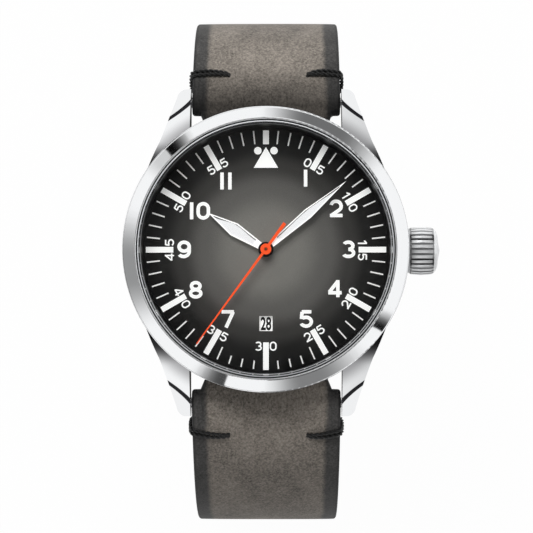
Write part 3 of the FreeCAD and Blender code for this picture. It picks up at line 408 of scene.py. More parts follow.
def bezel_steel():
    """Polished steel, duller at its inner lip, with a painted shadow round its outer edge, where it meets
    the case.
    """
    material, tree, shader = new_material("bezel_steel", polish_colour, 0.05, 1.0)
    away = from_axis(tree)
    lip = ranged(tree, away, (bezel_inner + 0.1) * mm, (bezel_inner + 0.35) * mm, 0.4, 0.03)
    add_marks(tree, shader, lip, 0.02)
    # A painted shadow round the bezel's outer edge.
    edge = ranged(tree, away, (bezel_radius - 0.06) * mm, (bezel_radius - 0.02) * mm)
    feed(tree, shader, Base_Color=blended(tree, edge, polish_colour, bezel_edge_shade))
    return material


def crown_steel():
    """Polished steel with painted shade between the ridges of the grip, deepest half way to each side."""
    material, tree, shader = new_material("crown_steel", polish_colour, 0.3, 0.4)
    add_marks(tree, shader, 0.28, 0.04)
    parts = parts_of(tree, object_place(tree))
    height = calc(tree, "SUBTRACT", parts["Z"], crown_height * mm)
    across = put(tree, "ShaderNodeCombineXYZ", {"X": parts["Y"], "Y": height}).outputs["Vector"]
    away = put(tree, "ShaderNodeVectorMath", {0: across}, operation="LENGTH").outputs["Value"]
    # Painted shade between the ridges of the grip.
    gap_shade = ranged(tree, away, crown_grip_low * mm, crown_grip_high * mm, 1.0, 0.0)
    grip = band(tree, parts["X"], (crown_grip_start - 0.1) * mm, crown_grip_start * mm,
                crown_grip_end * mm, (crown_grip_end + 0.1) * mm)
    side = calc(tree, "ABSOLUTE", parts["Y"])
    before = ranged(tree, side, 0.9 * mm, 1.5 * mm, 0.7, 1.0)
    after = ranged(tree, side, 2.0 * mm, 2.5 * mm, 1.0, 0.5)
    gap_shade = product(tree, product(tree, gap_shade, grip), product(tree, before, after))
    feed(tree, shader, Base_Color=blended(tree, gap_shade, polish_colour, polish_shadow))
    return material


def turned_steel():
    material, tree, shader = new_material("turned_steel", (0.62, 0.62, 0.63, 1), 0.25, 1.0)
    lines = in_group(tree, turned_group, {"Distance": from_axis(tree), "Pitch": 0.12 * mm})
    feed(tree, shader, Normal=bumped(tree, lines["Height"], 0.02 * mm, 0.6),
         Roughness=ranged(tree, lines["Shade"], 0.85, 1.0, 0.34, 0.2))
    return material


def satin_steel(name, colour, roughness):
    """Steel with a fine grain that runs along X."""
    material, tree, shader = new_material(name, colour, roughness, 1.0)
    grain = put(tree, "ShaderNodeMapping", {"Vector": object_place(tree), "Scale": (1.0, 30.0, 30.0)})
    height = noise(tree, grain.outputs["Vector"], 500.0, 3.0)
    feed(tree, shader, Normal=bumped(tree, height, 0.01 * mm, 0.5),
         Roughness=ranged(tree, height, 0.3, 0.7, roughness - 0.06, roughness + 0.08))
    return material


def sapphire():
    """Clear sapphire that throws no shadow, with light and dark rings painted on its ground edge as
    reflections.
    """
    material, tree, shader = new_material(
        "sapphire", (1, 1, 1, 1), 0.0, 0.0, Transmission_Weight=1.0, IOR=1.5, Specular_IOR_Level=0.35)
    smudge = noise(tree, object_place(tree), 90.0, 2.0)
    feed(tree, shader, Roughness=ranged(tree, smudge, 0.62, 0.8, 0.0, 0.02))
    through = put(tree, "ShaderNodeBsdfTransparent")
    path = put(tree, "ShaderNodeLightPath")
    soft = calc(tree, "MAXIMUM", path.outputs["Is Shadow Ray"], path.outputs["Is Diffuse Ray"])
    clear = shader_mix(tree, soft, shader.outputs["BSDF"], through.outputs["BSDF"])
    away = from_axis(tree)
    share = ranged(tree, away, flange_outer * mm, (flange_outer + 0.5) * mm, interpolation="LINEAR")
    # Light and dark rings painted on the ground edge: painted reflections.
    rings = colour_ramp(tree, share, (
        (0.0, srgb(14, 14, 15)), (0.12, srgb(60, 62, 65)),
        (0.28, srgb(90, 92, 95)), (0.34, srgb(232, 234, 236)),
        (0.5, srgb(232, 234, 236)), (0.58, srgb(72, 74, 77)),
        (0.75, srgb(34, 35, 37)), (1.0, srgb(26, 26, 28)),
    ))
    ground = put(tree, "ShaderNodeBsdfPrincipled", {"Base Color": rings, "Roughness": 0.4})
    is_edge = ranged(tree, away, (flange_outer + 0.01) * mm, (flange_outer + 0.05) * mm)
    show(tree, shader_mix(tree, is_edge, clear, ground.outputs["BSDF"]))
    return material


def rubber():
    material, tree, shader = new_material("rubber", srgb(22, 22, 23), 0.6)
    grain = speckled(tree, object_place(tree), 3000.0, 0.3)
    feed(tree, shader, Normal=bumped(tree, grain["Height"], 0.01 * mm, 0.4))
    return material


def flange_black():
    """The black ring round the dial, with a painted highlight line near its upper edge."""
    material, tree, shader = new_material("flange_black", srgb(16, 16, 17), 0.35)
    grain = speckled(tree, object_place(tree), 6000.0, 0.5)
    wall = blended(tree, grain["Height"], srgb(8, 8, 9), srgb(16, 16, 17))
    # A painted highlight line inside the flange's rim.
    line = band(tree, from_axis(tree), *((flange_outer - inset) * mm for inset in painted_flange_highlight))
    feed(tree, shader, Base_Color=blended(tree, line, wall, srgb(188, 190, 192)),
         Normal=bumped(tree, grain["Height"], 0.005 * mm, 0.4))
    return material


def smoked_dial():
    """Grey in the middle, smoked to black at the edge, over a fine sanded grain."""
    material, tree, shader = new_material("smoked_dial", srgb(100, 98, 94), 0.55)
    away = calc(tree, "DIVIDE", from_axis(tree), dial_radius * mm)
    smoke = colour_ramp(tree, away, (
        (0.0, srgb(127, 126, 121)), (0.25, srgb(123, 122, 117)), (0.5, srgb(94, 93, 90)),
        (0.68, srgb(55, 54, 52)), (0.82, srgb(24, 24, 23)), (0.95, srgb(9, 9, 9)),
    ), "EASE")
    grain = speckled(tree, object_place(tree), 5200.0, 0.28)
    feed(tree, shader, Base_Color=scaled(tree, smoke, grain["Shade"]),
         Normal=bumped(tree, grain["Height"], 0.01 * mm, 0.3))
    return material


def matte_paint(name, colour, grain_size=4000.0, amount=0.08, glow=0.0):
    """Paint or print with a faint grain; a glow, where one is given, is painted light."""
    material, tree, shader = new_material(name, colour, 0.55, Emission_Color=colour, Emission_Strength=glow)
    grain = speckled(tree, object_place(tree), grain_size, amount)
    feed(tree, shader, Base_Color=scaled(tree, colour, grain["Shade"]),
         Normal=bumped(tree, grain["Height"], 0.006 * mm, 0.4))
    return material


def hand_steel():
    """Bright frames of the hands with a painted glow, blackened round the hub."""
    material, tree, shader = new_material(
        "hand_steel", (0.9, 0.9, 0.9, 1), 0.12, Emission_Color=(1, 1, 1, 1))
    black, bright = (radius * mm for radius in hub_black)
    away = from_axis(tree)
    frame_share = ranged(tree, away, black, bright)
    # The frames glow a little: painted light.
    feed(tree, shader, Base_Color=blended(tree, frame_share, srgb(14, 14, 14), srgb(244, 244, 242)),
         Roughness=ranged(tree, away, black, bright, 0.45, 0.16),
         Emission_Strength=product(tree, frame_share, 0.45))
    return material


def framed_lume(name, angle, side, window):
    """The pale fill of a hand, with a painted glow and a painted shadow line along its upper side, as if
    cast by its frame.
    """
    pale, glow = srgb(236, 237, 238), 0.22
    material, tree, shader = new_material(name, pale, 0.55, Emission_Color=pale, Emission_Strength=glow)
    turned = math.radians(angle)
    along = along_axis(tree, object_place(tree), (math.sin(turned), math.cos(turned), 0))
    across = along_axis(tree, object_place(tree), (math.cos(turned), -math.sin(turned), 0))
    start, middle, end, start_half, middle_half, end_half = (value * mm for value in window)
    rising = ranged(tree, along, start, middle, start_half, middle_half)
    falling = ranged(tree, along, middle, end, middle_half, end_half)
    half = calc(tree, "MINIMUM", rising, falling)
    inside = calc(tree, "SUBTRACT", half, product(tree, across, side))
    # A painted shadow line along the upper side of the window, and a painted glow over the rest.
    line = ranged(tree, inside, 0.09 * mm, 0.12 * mm, 1.0, 0.0)
    feed(tree, shader, Base_Color=blended(tree, line, pale, srgb(70, 70, 70)),
         Emission_Strength=ranged(tree, line, 0.0, 1.0, glow, 0.0))
    return material


def orange_lacquer():
    """Orange lacquer with a painted glow, the dark pin of the hub and a painted shade round it."""
    orange, glow = srgb(255, 88, 36), 0.2
    material, tree, shader = new_material(
        "orange_lacquer", orange, 0.32, 0.0, Coat_Weight=0.3, Emission_Color=orange, Emission_Strength=glow)
    away = from_axis(tree)
    pin = ranged(tree, away, 0.17 * mm, 0.2 * mm)
    # Painted shade round the pin, and a painted glow over the orange.
    shaded = blended(tree, ranged(tree, away, 0.2 * mm, 0.42 * mm), srgb(190, 52, 22), orange)
    grain = speckled(tree, object_place(tree), 5000.0, 0.1)
    feed(tree, shader, Base_Color=blended(tree, pin, srgb(12, 8, 8), shaded),
         Emission_Strength=product(tree, pin, glow), Normal=bumped(tree, grain["Height"], 0.004 * mm, 0.3))
    return material


# Materials of the movement

def grained_plate():
    """Nickel plated brass with rows of small overlapping turned spots."""
    material, tree, shader = new_material("grained_plate", (0.66, 0.65, 0.62, 1), 0.3, 1.0)
    sockets = {"Vector": object_place(tree), "Scale": 900.0, "Randomness": 0.15}
    away = put(tree, "ShaderNodeTexVoronoi", sockets).outputs["Distance"]
    rings = calc(tree, "SINE", product(tree, away, 60.0))
    feed(tree, shader, Normal=bumped(tree, rings, 0.006 * mm, 0.7),
         Roughness=ranged(tree, away, 0.0, 0.6, 0.2, 0.38))
    return material


def brass(name, colour):
    """Gilt brass with the fine graining of a cut wheel."""
    material, tree, shader = new_material(name, colour, 0.28, 1.0)
    grain = speckled(tree, object_place(tree), 2500.0, 0.3)
    feed(tree, shader, Normal=bumped(tree, grain["Height"], 0.008 * mm, 0.5),
         Roughness=ranged(tree, grain["Shade"], 0.8, 1.2, 0.2, 0.36))
    return material


def striped_steel():
    """Steel with broad parallel stripes, each one softly rounded."""
    material, tree, shader = new_material("striped_steel", (0.6, 0.6, 0.6, 1), 0.28, 1.0)
    parts = parts_of(tree, object_place(tree))
    stripe = calc(tree, "FRACT", calc(tree, "DIVIDE", parts["X"], rotor_stripe * mm))
    wave = calc(tree, "SINE", product(tree, stripe, math.pi))
    feed(tree, shader, Normal=bumped(tree, wave, 0.06 * mm, 0.6),
         Roughness=ranged(tree, wave, 0.0, 1.0, 0.42, 0.2))
    return material


# Materials of the strap

def nubuck():
    """Taupe grey leather with a fine nap, burnished dark along its edges.

    Towards the watch it has painted shade on the side of 12, and painted light on the side of 6.
    """
    material, tree, shader = new_material(
        "nubuck", srgb(126, 120, 112), 0.85, 0.0, Sheen_Weight=0.1, Sheen_Roughness=0.5)
    place = put(tree, "ShaderNodeAttribute", attribute_name="flat").outputs["Vector"]
    from_edge = put(tree, "ShaderNodeAttribute", attribute_name="edge").outputs["Fac"]
    along = parts_of(tree, place)["Y"]
    grain = speckled(tree, place, 3600.0, 2.6)
    body = scaled(tree, srgb(130, 123, 115), grain["Shade"])
    burnish = scaled(tree, srgb(66, 65, 64), grain["Shade"])
    wobble = product(tree, calc(tree, "SUBTRACT", noise(tree, place, 350.0, 2.0), 0.5), 0.8 * mm)
    inside = ranged(tree, calc(tree, "ADD", from_edge, wobble), 1.7 * mm, 2.7 * mm)
    colour = blended(tree, inside, burnish, body)
    rim = ranged(tree, from_edge, 0.1 * mm, 0.55 * mm)
    colour = blended(tree, rim, srgb(32, 32, 32), colour)
    # Painted shade towards the watch on the side of 12, a little darker again further out, and painted light
    # towards the watch on the side of 6.
    above = product(tree, ranged(tree, along, -2.0 * mm, 7.0 * mm, 0.25, 1.0),
                    ranged(tree, along, 6.0 * mm, 18.0 * mm, 1.0, 0.8))
    under = ranged(tree, along, 0.0, 12.0 * mm, 1.35, 1.0)
    is_above = ranged(tree, parts_of(tree, object_place(tree))["Y"], -1.0 * mm, 1.0 * mm)
    is_under = calc(tree, "SUBTRACT", 1.0, is_above)
    painted_shade_and_light = calc(tree, "ADD", product(tree, is_above, above), product(tree, is_under, under))
    feed(tree, shader, Base_Color=scaled(tree, colour, painted_shade_and_light),
         Normal=bumped(tree, grain["Height"], 0.12 * mm, 0.6))
    return material


def dark_leather(name, colour, grain_size):
    """Smooth dark leather with fine pores."""
    material, tree, shader = new_material(name, colour, 0.5)
    place = put(tree, "ShaderNodeAttribute", attribute_name="flat").outputs["Vector"]
    grain = speckled(tree, place, grain_size, 0.8)
    cells = put(tree, "ShaderNodeTexVoronoi", {"Vector": place, "Scale": grain_size * 0.5})
    feed(tree, shader, Base_Color=scaled(tree, colour, grain["Shade"]),
         Normal=bumped(tree, cells.outputs["Distance"], 0.05 * mm, 0.5),
         Roughness=ranged(tree, grain["Height"], 0.3, 0.7, 0.42, 0.6))
    return material


def waxed_thread():
    black = srgb(20, 20, 20)
    material, tree, shader = new_material("waxed_thread", black, 0.5)
    grain = speckled(tree, object_place(tree), 9000.0, 1.2)
    feed(tree, shader, Base_Color=scaled(tree, black, grain["Shade"]),
         Normal=bumped(tree, grain["Height"], 0.03 * mm, 0.5))
    return material


finishes = {
    "polished_steel": case_steel(),
    "turned_steel": turned_steel(),
    "buckle_steel": satin_steel("buckle_steel", (0.7, 0.7, 0.71, 1), 0.2),
    "bar_steel": satin_steel("bar_steel", (0.55, 0.55, 0.56, 1), 0.3),
    "sapphire": sapphire(),
    "gasket": rubber(),
    "flange": flange_black(),
    "dial_paint": smoked_dial(),
    # The glow of the lume, the white print and the date disc is painted light.
    "lume": matte_paint("lume", srgb(246, 247, 245), glow=0.3),
    "white_print": matte_paint("white_print", srgb(240, 240, 238), glow=0.15),
    "date_white": matte_paint("date_white", srgb(246, 246, 244), glow=0.45),
    "hand_steel": hand_steel(),
    "orange_paint": orange_lacquer(),
    "plated_brass": grained_plate(),
    "movement_holder": satin_steel("movement_holder", (0.5, 0.5, 0.5, 1), 0.35),
    "wheel_brass": brass("wheel_brass", (0.75, 0.52, 0.22, 1)),
    "works_steel": satin_steel("works_steel", (0.55, 0.56, 0.58, 1), 0.22),
    "rotor_steel": striped_steel(),
    "strap_leather": nubuck(),
    "lining_leather": dark_leather("lining_leather", srgb(58, 56, 53), 1600.0),
    "keeper_leather": dark_leather("keeper_leather", srgb(66, 63, 59), 2200.0),
    "waxed_cord": waxed_thread(),
}
own_finish = {
    "bezel": bezel_steel(),
    "crown": crown_steel(),
    "hour_hand_inlay": framed_lume("hour_lume", hour_hand_angle, 1, hour_window),
    "minute_hand_inlay": framed_lume("minute_lume", minute_hand_angle, -1, minute_window),
}
date_black = matte_paint("date_black", srgb(18, 18, 18), amount=0.2)


def dress_nodes():
    """Give every node of the model its finish."""
    for row in frame["record"]["subparts"]:
        item = nodes[row["node"]]
        material = own_finish.get(row["node"], finishes[row["material_slot"]])
        if not item.material_slots:
            item.data.materials.append(material)
        for place in item.material_slots:
            place.material = material


# Strap shapes

def along_arc(y, z, heading, radius, distance):
    if radius is None:
        return y + distance * math.cos(heading), z + distance * math.sin(heading), heading
    end = heading - distance / radius
    y += radius * (math.sin(heading) - math.sin(end))
    z -= radius * (math.cos(heading) - math.cos(end))
    return y, z, end


def strap_route(bulge):
    """Arcs of the middle line from the spring bar to the foot: start, heading, radius, length."""
    heading = -start_slope
    rise = loop_radius - face_thickness
    y = bar_y - rise * math.sin(heading)
    z = bar_z + rise * math.cos(heading)
    first = (bulge - y) / (1 + math.sin(heading))
    upright_z = z - first * math.cos(heading)
    drop = upright_z - foot_level - foot_radius * (1 - math.sin(lean))
    second = drop / math.sin(lean)
    turns = ((first, math.pi / 2 + heading), (second, lean), (foot_radius, math.pi / 2 - lean))
    route = []
    for radius, turn in turns:
        route.append((y, z, heading, radius, radius * turn))
        y, z, heading = along_arc(y, z, heading, radius, radius * turn)
    route.append((y, z, heading, None, 1000.0))
    return route


def route_point(route, distance):
    for y, z, heading, radius, length in route:
        if distance <= length:
            return along_arc(y, z, heading, radius, distance)
        distance -= length


wrap_radius = loop_radius - face_thickness / 2
wrap_length = math.pi * wrap_radius


def strap_point(route, side, across, along, out):
    """A point of the strap. Before its start the leather folds back round the spring bar."""
    if along >= 0:
        y, z, heading = route_point(route, along)
        return Vector((across, side * (y - out * math.sin(heading)), z + out * math.cos(heading)))
    turn = min(-along, wrap_length) / wrap_radius
    angle = math.pi / 2 - start_slope + turn
    reach = loop_radius - face_thickness + out
    under = max(-along - wrap_length, 0.0)
    y = bar_y + reach * math.cos(angle) + under * math.cos(-start_slope)
    z = bar_z + reach * math.sin(angle) + under * math.sin(-start_slope)
    return Vector((across, side * y, z))


def half_width(along):
    share = min(max(along / taper_length, 0), 1)
    return (strap_width + (strap_end_width - strap_width) * share) / 2


def lining_depth(along):
    ease = smooth_step(along, padding_start, padding_start + padding_length)
    return lining_at_lug + (lining_thickness - lining_at_lug) * ease


def nose(along, length):
    """Share of the width that is left towards the pointed tip of the tail."""
    share = max((along - (length - tail_nose)) / tail_nose, 0)
    return max(1 - share * share, tail_blunt) ** tail_power


# Where a leather outline has its points across, as shares of its flat half width
across_shares = (0.0, 0.15, 0.3, 0.45, 0.6, 0.74, 0.845, 0.865, 0.92, 0.96)


def leather_section(half, low, high, soft, crown):
    """Outline of a strip of leather, as (across, out), round at its upper edges and barely crowned."""
    soft = min(soft, half * 0.2)
    flat = half - soft
    quarter = [i * math.pi / 8 for i in range(5)]
    upper = [(share * flat, high - crown * share ** 4) for share in across_shares]
    upper += [(flat + soft * math.sin(a), high - crown - soft + soft * math.cos(a)) for a in quarter]
    lower = [(half, low + lower_round), (half - lower_round * soft, low)]
    lower += [(share * flat, low) for share in across_shares[:0:-1]]
    right = upper + lower
    left = [(-x, n) for x, n in right[:0:-1]]
    return right + [(0.0, low)] + left


def mark_swept(bm, count, places):
    """Keep for each vertex its place on the flat strap and its distance from the strap's edge.

    The places are listed section by section, with as many in each as the count.
    """
    order = bm.verts.layers.int["place"]
    flat = bm.verts.layers.float_vector.new("flat")
    edge = bm.verts.layers.float.new("edge")
    for i, vert in enumerate(bm.verts):
        across, along, out = places[(i // count) * count + vert[order]]
        vert[flat] = (across * mm, along * mm, out * mm)
        vert[edge] = (half_width(max(along, 0)) - abs(across)) * mm


def leather_strip(route, side, stations, outline, bulge=None):
    """A strip of leather swept along the strap.

    One function gives its outline at a distance, and another how far a point of it bulges out.
    """
    sections = []
    places = []
    for along in stations:
        section = []
        for across, out in outline(along):
            puffed = out + bulge(across, along, out) if bulge else out
            section.append(strap_point(route, side, across, along, puffed))
            places.append((across, along, puffed))
        sections.append(section)
    bm = swept(sections)
    mark_swept(bm, len(sections[0]), places)
    return bm


def tab_puff(across, along, out):
    """The middle of the strap's end is thicker where it faces the case."""
    if along >= 0 or out <= 0:
        return 0.0
    turn = min(-along, wrap_length) / wrap_radius
    angle = math.pi / 2 - start_slope + turn
    facing = 1 - smooth_step(abs(angle - math.pi), *tab_facing)
    inside = 1 - smooth_step(abs(across), tab_half_width - tab_soft, tab_half_width + tab_soft)
    return tab_bulge * facing * inside * out / face_thickness


def spaced(first, last, step):
    count = max(1, round((last - first) / step))
    return [first + (last - first) * i / count for i in range(count + 1)]


def face_leather(name, route, side, length, pointed, body):
    stations = spaced(-wrap_length - face_overlap, 0, 0.3)[:-1] + spaced(0, length, 1.0)

    def outline(along):
        share = nose(along, length) if pointed else 1.0
        half = half_width(max(along, 0)) * share
        return leather_section(half, 0.0, face_thickness, leather_round, face_crown)

    bm = leather_strip(route, side, stations, outline, tab_puff)
    return finished(name, bm, finishes["strap_leather"], body)


def lining_leather(name, route, side, length, pointed, body):
    stations = spaced(lining_start, length, 1.0)

    def outline(along):
        share = nose(along, length) if pointed else 1.0
        half = half_width(along) * share - lining_inset
        section = leather_section(half, 0.02, lining_depth(along), leather_round, lining_crown)
        return [(across, -out) for across, out in section]

    bm = leather_strip(route, side, stations, outline)
    return finished(name, bm, finishes["lining_leather"], body)


def drill(piece, route, side):
    """Punch the row of holes through a strip of the tail, and mark the holes' walls like the leather."""
    cutter_mesh = bmesh.new()
    axes = []
    for i in range(hole_count):
        along = holes_from + hole_step * i
        centre = strap_point(route, side, 0.0, along, 0.0)
        outward = (strap_point(route, side, 0.0, along, 1.0) - centre).normalized()
        ahead = (strap_point(route, side, 0.0, along + 0.1, 0.0) - centre).normalized()
        turn = outward.to_track_quat("Z", "Y").to_matrix()
        made = bmesh.ops.create_cone(
            cutter_mesh, cap_ends=True, segments=hole_sides,
            radius1=hole_radius, radius2=hole_radius, depth=hole_depth)
        bmesh.ops.rotate(cutter_mesh, matrix=turn, verts=made["verts"])
        bmesh.ops.translate(cutter_mesh, vec=centre, verts=made["verts"])
        axes.append((along, centre, outward, ahead))
    cutter = finished("hole_cutter", cutter_mesh, finishes["strap_leather"])
    holes = piece.modifiers.new("holes", "BOOLEAN")
    holes.object = cutter
    holes.solver = "EXACT"
    ready = piece.evaluated_get(bpy.context.evaluated_depsgraph_get())
    drilled = bpy.data.meshes.new_from_object(ready)
    piece.modifiers.clear()
    piece.data = drilled
    bpy.data.objects.remove(cutter)
    flat, edge = drilled.attributes["flat"].data, drilled.attributes["edge"].data
    for vert in drilled.vertices:
        for along, centre, outward, ahead in axes:
            offset = vert.co / mm - centre
            height = offset.dot(outward)
            away = (offset - outward * height).length
            if abs(height) < hole_reach and away < hole_radius + hole_near:
                flat[vert.index].vector = (vert.co.x, (along + offset.dot(ahead)) * mm, height * mm)
                edge[vert.index].value = half_width(along) * mm - abs(vert.co.x)
    soften(drilled)


def rounded_line(points, rounds=3):
    """Cut the corners of a line of points again and again, keeping its two ends."""
    for _ in range(rounds):
        cut = [points[0]]
        for a, b in zip(points, points[1:]):
            cut += [a.lerp(b, 0.25), a.lerp(b, 0.75)]
        points = cut + [points[-1]]
    return points


def evenly(points, step):
    """Points at even distances along a line of points."""
    result = [points[0]]
    left = step
    for a, b in zip(points, points[1:]):
        length = (b - a).length
        travelled = left
        while travelled < length:
            result.append(a.lerp(b, travelled / length))
            travelled += step
        left = travelled - length
    return result


def twisted_plies(points):
    """Two round plies wound round each other along a line of points."""
    step = (points[1] - points[0]).length
    across = (points[1] - points[0]).orthogonal().normalized()
    rings = ([], [])
    for i, point in enumerate(points):
        ahead = (points[min(i + 1, len(points) - 1)] - points[max(i - 1, 0)]).normalized()
        across = (across - ahead * across.dot(ahead)).normalized()
        other = ahead.cross(across)
        for ply in (0, 1):
            turn = 2 * math.pi * i * step / twist_pitch + math.pi * ply
            aside = across * math.cos(turn) + other * math.sin(turn)
            centre = point + aside * (cord_radius - ply_radius)
            around = [2 * math.pi * k / ply_sides for k in range(ply_sides)]
            rings[ply].append([
                centre + (across * math.cos(a) + other * math.sin(a)) * ply_radius for a in around])
    return [swept(ring) for ring in rings]


def joined(parts):
    """One bmesh made of several."""
    whole = bmesh.new()
    for part in parts:
        mesh = bpy.data.meshes.new("part")
        part.to_mesh(mesh)
        part.free()
        whole.from_mesh(mesh)
        bpy.data.meshes.remove(mesh)
    return whole


def sewn_cords(name, route, side, distance, slant, body):
    """Two twisted strands at each side of the strap, from a hole in its face round to the lining."""
    plies = []
    half = half_width(distance)
    top = face_thickness + cord_radius
    under = -lining_depth(distance) - cord_radius
    for x_side, hole in cord_holes.items():
        for strand in (0, 1):
            shift = strand_apart * strand
            # Across the strap, out from where its two leathers meet, and along it
            places = (
                (hole, 0.35, -0.2 + 0.3 * strand),
                (hole + 0.25, top + 0.05, -0.1 + 0.2 * strand),
                (8.2, top + 0.1, shift),
                (half - 0.3, top - 0.05, shift),
                (half + cord_radius, top - 0.6, shift),
                (half + cord_radius, under + 0.6, shift),
                (half - 0.4, under, shift),
                (half - 2.6, under, shift),
            )
            line = [
                strap_point(route, side, x_side * x, distance + s + slant * (x - hole), n)
                for x, n, s in places
            ]
            plies += twisted_plies(evenly(rounded_line(line), cord_step))
    return finished(name, joined(plies), finishes["waxed_cord"], body, degrees=60.0)


def keeper(name, route, place, half, high, body):
    """A loop of leather round the strap, with softened edges and corners."""
    y, z, heading = route_point(route, place)
    start = Vector((0, y, z))
    ahead = Vector((0, math.cos(heading), math.sin(heading)))
    outward = Vector((0, -math.sin(heading), math.cos(heading)))
    bend, soft = keeper_bend, keeper_round
    corners = (
        (half - bend, high - bend, 0), (-half + bend, high - bend, 90),
        (-half + bend, keeper_low + bend, 180), (half - bend, keeper_low + bend, 270),
    )
    rim = []
    reach, outer = keeper_half_length - soft, keeper_wall - soft
    for u, d, first in ((reach, outer, 0), (-reach, outer, 90), (-reach, soft, 180), (reach, soft, 270)):
        for degrees in (first, first + 45, first + 90):
            a = math.radians(degrees)
            rim.append((u + soft * math.cos(a), d + soft * math.sin(a)))
    sections, places = [], []
    walked = 0.0
    last = None
    for x, n, first in corners:
        for degrees in spaced(first, first + 90, 18):
            a = math.radians(degrees)
            inner = Vector((x + bend * math.cos(a), n + bend * math.sin(a)))
            walked += (inner - last).length if last else 0.0
            last = inner
            section = []
            for u, d in rim:
                across, out = inner.x + d * math.cos(a), inner.y + d * math.sin(a)
                section.append(start + Vector((across, 0, 0)) + ahead * u + outward * out)
                places.append((walked, u, d))
            sections.append(section)
    bm = swept(sections, True)
    mark_swept(bm, len(rim), places)
    return finished(name, bm, finishes["keeper_leather"], body, degrees=50.0)


def date_figures():
    """The 31 dates printed round the date disc, upright when they pass the window."""
    parts = []
    for number in range(1, date_count + 1):
        text = bpy.data.curves.new("date", "FONT")
        text.body = str(number)
        text.size = 1.0
        text.align_x = "CENTER"
        text.align_y = "CENTER"
        text.offset = date_figure_bold
        holder = bpy.data.objects.new("date", text)
        bpy.context.scene.collection.objects.link(holder)
        mesh = bpy.data.meshes.new_from_object(holder.evaluated_get(bpy.context.evaluated_depsgraph_get()))
        bpy.data.objects.remove(holder)
        bm = bmesh.new()
        bm.from_mesh(mesh)
        bpy.data.meshes.remove(mesh)
        xs = [vert.co.x for vert in bm.verts]
        ys = [vert.co.y for vert in bm.verts]
        size = date_figure_height / (max(ys) - min(ys))
        centre = Vector((min(xs) + max(xs), min(ys) + max(ys), 0)) / 2
        bmesh.ops.translate(bm, vec=-centre, verts=bm.verts)
        bmesh.ops.scale(bm, vec=(size * date_figure_squeeze, size, 1), verts=bm.verts)
        bmesh.ops.translate(bm, vec=(0, -date_ring_radius, date_ring_top + date_print), verts=bm.verts)
        turn = Matrix.Rotation((number - date_shown) * 2 * math.pi / date_count, 3, "Z")
        bmesh.ops.rotate(bm, matrix=turn, verts=bm.verts)
        parts.append(bm)
    return finished("date_figures", joined(parts), date_black, "date_ring")


def strap_pieces():
    for name, side, bulge, length, pointed in (
        ("12", 1, bulge_12, length_12, False), ("6", -1, bulge_6, length_6, True),
    ):
        route = strap_route(bulge)
        body = "strap_" + name
        face = face_leather("face_leather_" + name, route, side, length, pointed, body)
        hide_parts("strap_face_" + name)
        lining = lining_leather("lining_leather_" + name, route, side, length, pointed, body)
        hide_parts("strap_lining_" + name)
        if pointed:
            drill(face, route, side)
            drill(lining, route, side)
        place, slant = cord_places[name]
        cords = sewn_cords("sewn_cords_" + name, route, side, place, slant, body)
        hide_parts("cords_" + name)
    route = strap_route(bulge_12)
    for name, place, high, body in (
        ("fixed", fixed_keeper_place, fixed_keeper_high, "strap_12"),
        ("free", free_keeper_place, free_keeper_high, "free_keeper"),
    ):
        loop = keeper(name + "_loop", route, place, half_width(place) + keeper_play, high, body)
        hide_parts(name + "_keeper")


# Camera, floor and light

bezel_plane = 12.35
tilt = math.radians(3.5)
camera_distance, camera_aside = 350.0, 3.0
lens = 166.3
aim = Vector((0.11, -2.6, bezel_plane))

key_place, key_size, key_power = Vector((-110, 440, 560)), 460, 4.4
ambient_light, floor_shown, floor_reach = 0.3, 0.975, 3000
overhead_start, overhead_full, overhead_light = 0.8, 0.97, 0.05

# Dark cards among the white walls: bearing and half width in degrees, softness at each side, darkness
dark_cards = (
    (129.4, 3.7, 5.6, 0.3, 0.95),
    (137.6, 4.6, 0.4, 4.0, 0.18),
    (66.0, 18.0, 12.0, 10.0, 0.59),
    (184.5, 16.0, 11.0, 12.0, 0.44),
    (247.05, 4.55, 7.0, 0.3, 0.73),
    (291.5, 15.0, 9.6, 13.5, 0.52),
    (329.6, 2.7, 0.3, 5.0, 0.93),
)


def set_camera():
    data = bpy.data.cameras.new("camera")
    camera = bpy.data.objects.new("camera", data)
    bpy.context.scene.collection.objects.link(camera)
    place = Vector((0, -math.sin(tilt), math.cos(tilt))) * camera_distance
    place += Vector((camera_aside, 0, bezel_plane))
    forward = (aim - place).normalized()
    right = forward.cross(Vector((0, 1, 0))).normalized()
    camera.rotation_euler = Matrix((right, right.cross(forward), -forward)).transposed().to_euler()
    camera.location = place * mm
    data.lens = lens
    data.clip_start = 0.01
    bpy.context.scene.camera = camera


def pale_floor():
    """A pale floor that shows white, and keeps a little of the shadow."""
    pale, paler = (0.9, 0.9, 0.9, 1), (0.93, 0.93, 0.93, 1)
    material, tree, shader = new_material("pale_floor", pale, 0.6)
    grain = noise(tree, object_place(tree), 60.0, 2.0)
    feed(tree, shader, Base_Color=blended(tree, grain, pale, paler))
    glow = put(tree, "ShaderNodeEmission", {"Color": (1, 1, 1, 1), "Strength": 1.0})
    path = put(tree, "ShaderNodeLightPath")
    seen = calc(tree, "MAXIMUM", path.outputs["Is Camera Ray"], path.outputs["Is Glossy Ray"])
    seen = calc(tree, "MAXIMUM", seen, path.outputs["Is Transmission Ray"])
    share = product(tree, seen, floor_shown)
    show(tree, shader_mix(tree, share, shader.outputs["BSDF"], glow.outputs["Emission"]))
    bm = bmesh.new()
    bmesh.ops.create_grid(bm, x_segments=4, y_segments=4, size=floor_reach)
    bmesh.ops.translate(bm, vec=(0, 0, cad_box[0][2] / mm), verts=bm.verts)
    finished("floor", bm, material)


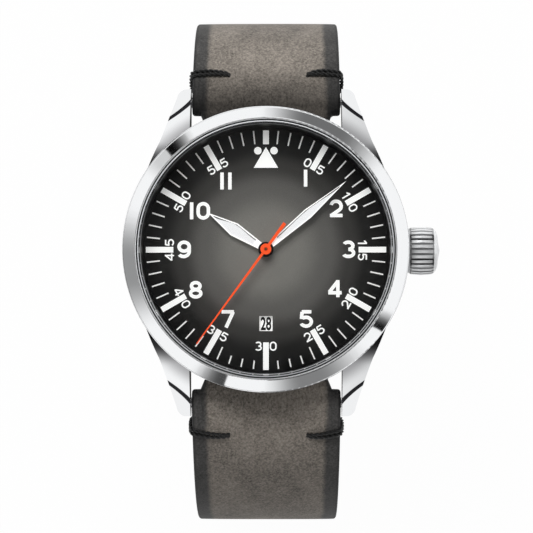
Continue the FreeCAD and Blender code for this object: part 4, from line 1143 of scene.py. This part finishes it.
def set_world():
    """White walls all round, a dark patch overhead where the camera looks through, and a few dark cards."""
    world = bpy.data.worlds.new("studio")
    bpy.context.scene.world = world
    world.use_nodes = True
    tree = world.node_tree
    tree.nodes.clear()
    parts = parts_of(tree, put(tree, "ShaderNodeTexCoord").outputs["Generated"])
    light = ranged(tree, parts["Z"], overhead_start, overhead_full, 1.0, overhead_light)
    degrees = product(tree, calc(tree, "ARCTAN2", parts["Y"], parts["X"]), 180 / math.pi)
    for middle, half, soft_before, soft_after, darkness in dark_cards:
        turned = calc(tree, "FLOORED_MODULO", calc(tree, "SUBTRACT", degrees, middle - 180), 360.0)
        first, last = 180 - half, 180 + half
        card = band(
            tree, turned, first - soft_before, first + soft_before, last - soft_after, last + soft_after)
        kept = calc(tree, "SUBTRACT", 1.0, product(tree, card, darkness))
        light = product(tree, light, calc(tree, "POWER", kept, 2.0))
    path = put(tree, "ShaderNodeLightPath")
    sharp = calc(tree, "MAXIMUM", path.outputs["Is Glossy Ray"], path.outputs["Is Transmission Ray"])
    ambient, walls, white = (
        put(tree, "ShaderNodeBackground", {"Color": colour, "Strength": strength}).outputs["Background"]
        for colour, strength in (((1, 1, 1, 1), ambient_light), (light, 1.0), ((1, 1, 1, 1), 1.0)))
    mirrored = shader_mix(tree, sharp, ambient, walls)
    seen = shader_mix(tree, path.outputs["Is Camera Ray"], mirrored, white)
    put(tree, "ShaderNodeOutputWorld", {"Surface": seen})


def key_lamp():
    """One broad soft lamp, above and beyond the watch."""
    data = bpy.data.lights.new("key_lamp", "AREA")
    data.shape = "DISK"
    data.size = key_size * mm
    data.energy = key_power
    lamp = bpy.data.objects.new("key_lamp", data)
    bpy.context.scene.collection.objects.link(lamp)
    lamp.location = key_place * mm
    lamp.rotation_euler = (-key_place).to_track_quat("-Z", "Y").to_euler()
    lamp.visible_glossy = False
    lamp.visible_transmission = False


dress_nodes()
strap_pieces()
date_figures()
set_camera()
pale_floor()
set_world()
key_lamp()
bpy.context.scene.view_settings.view_transform = "Standard"
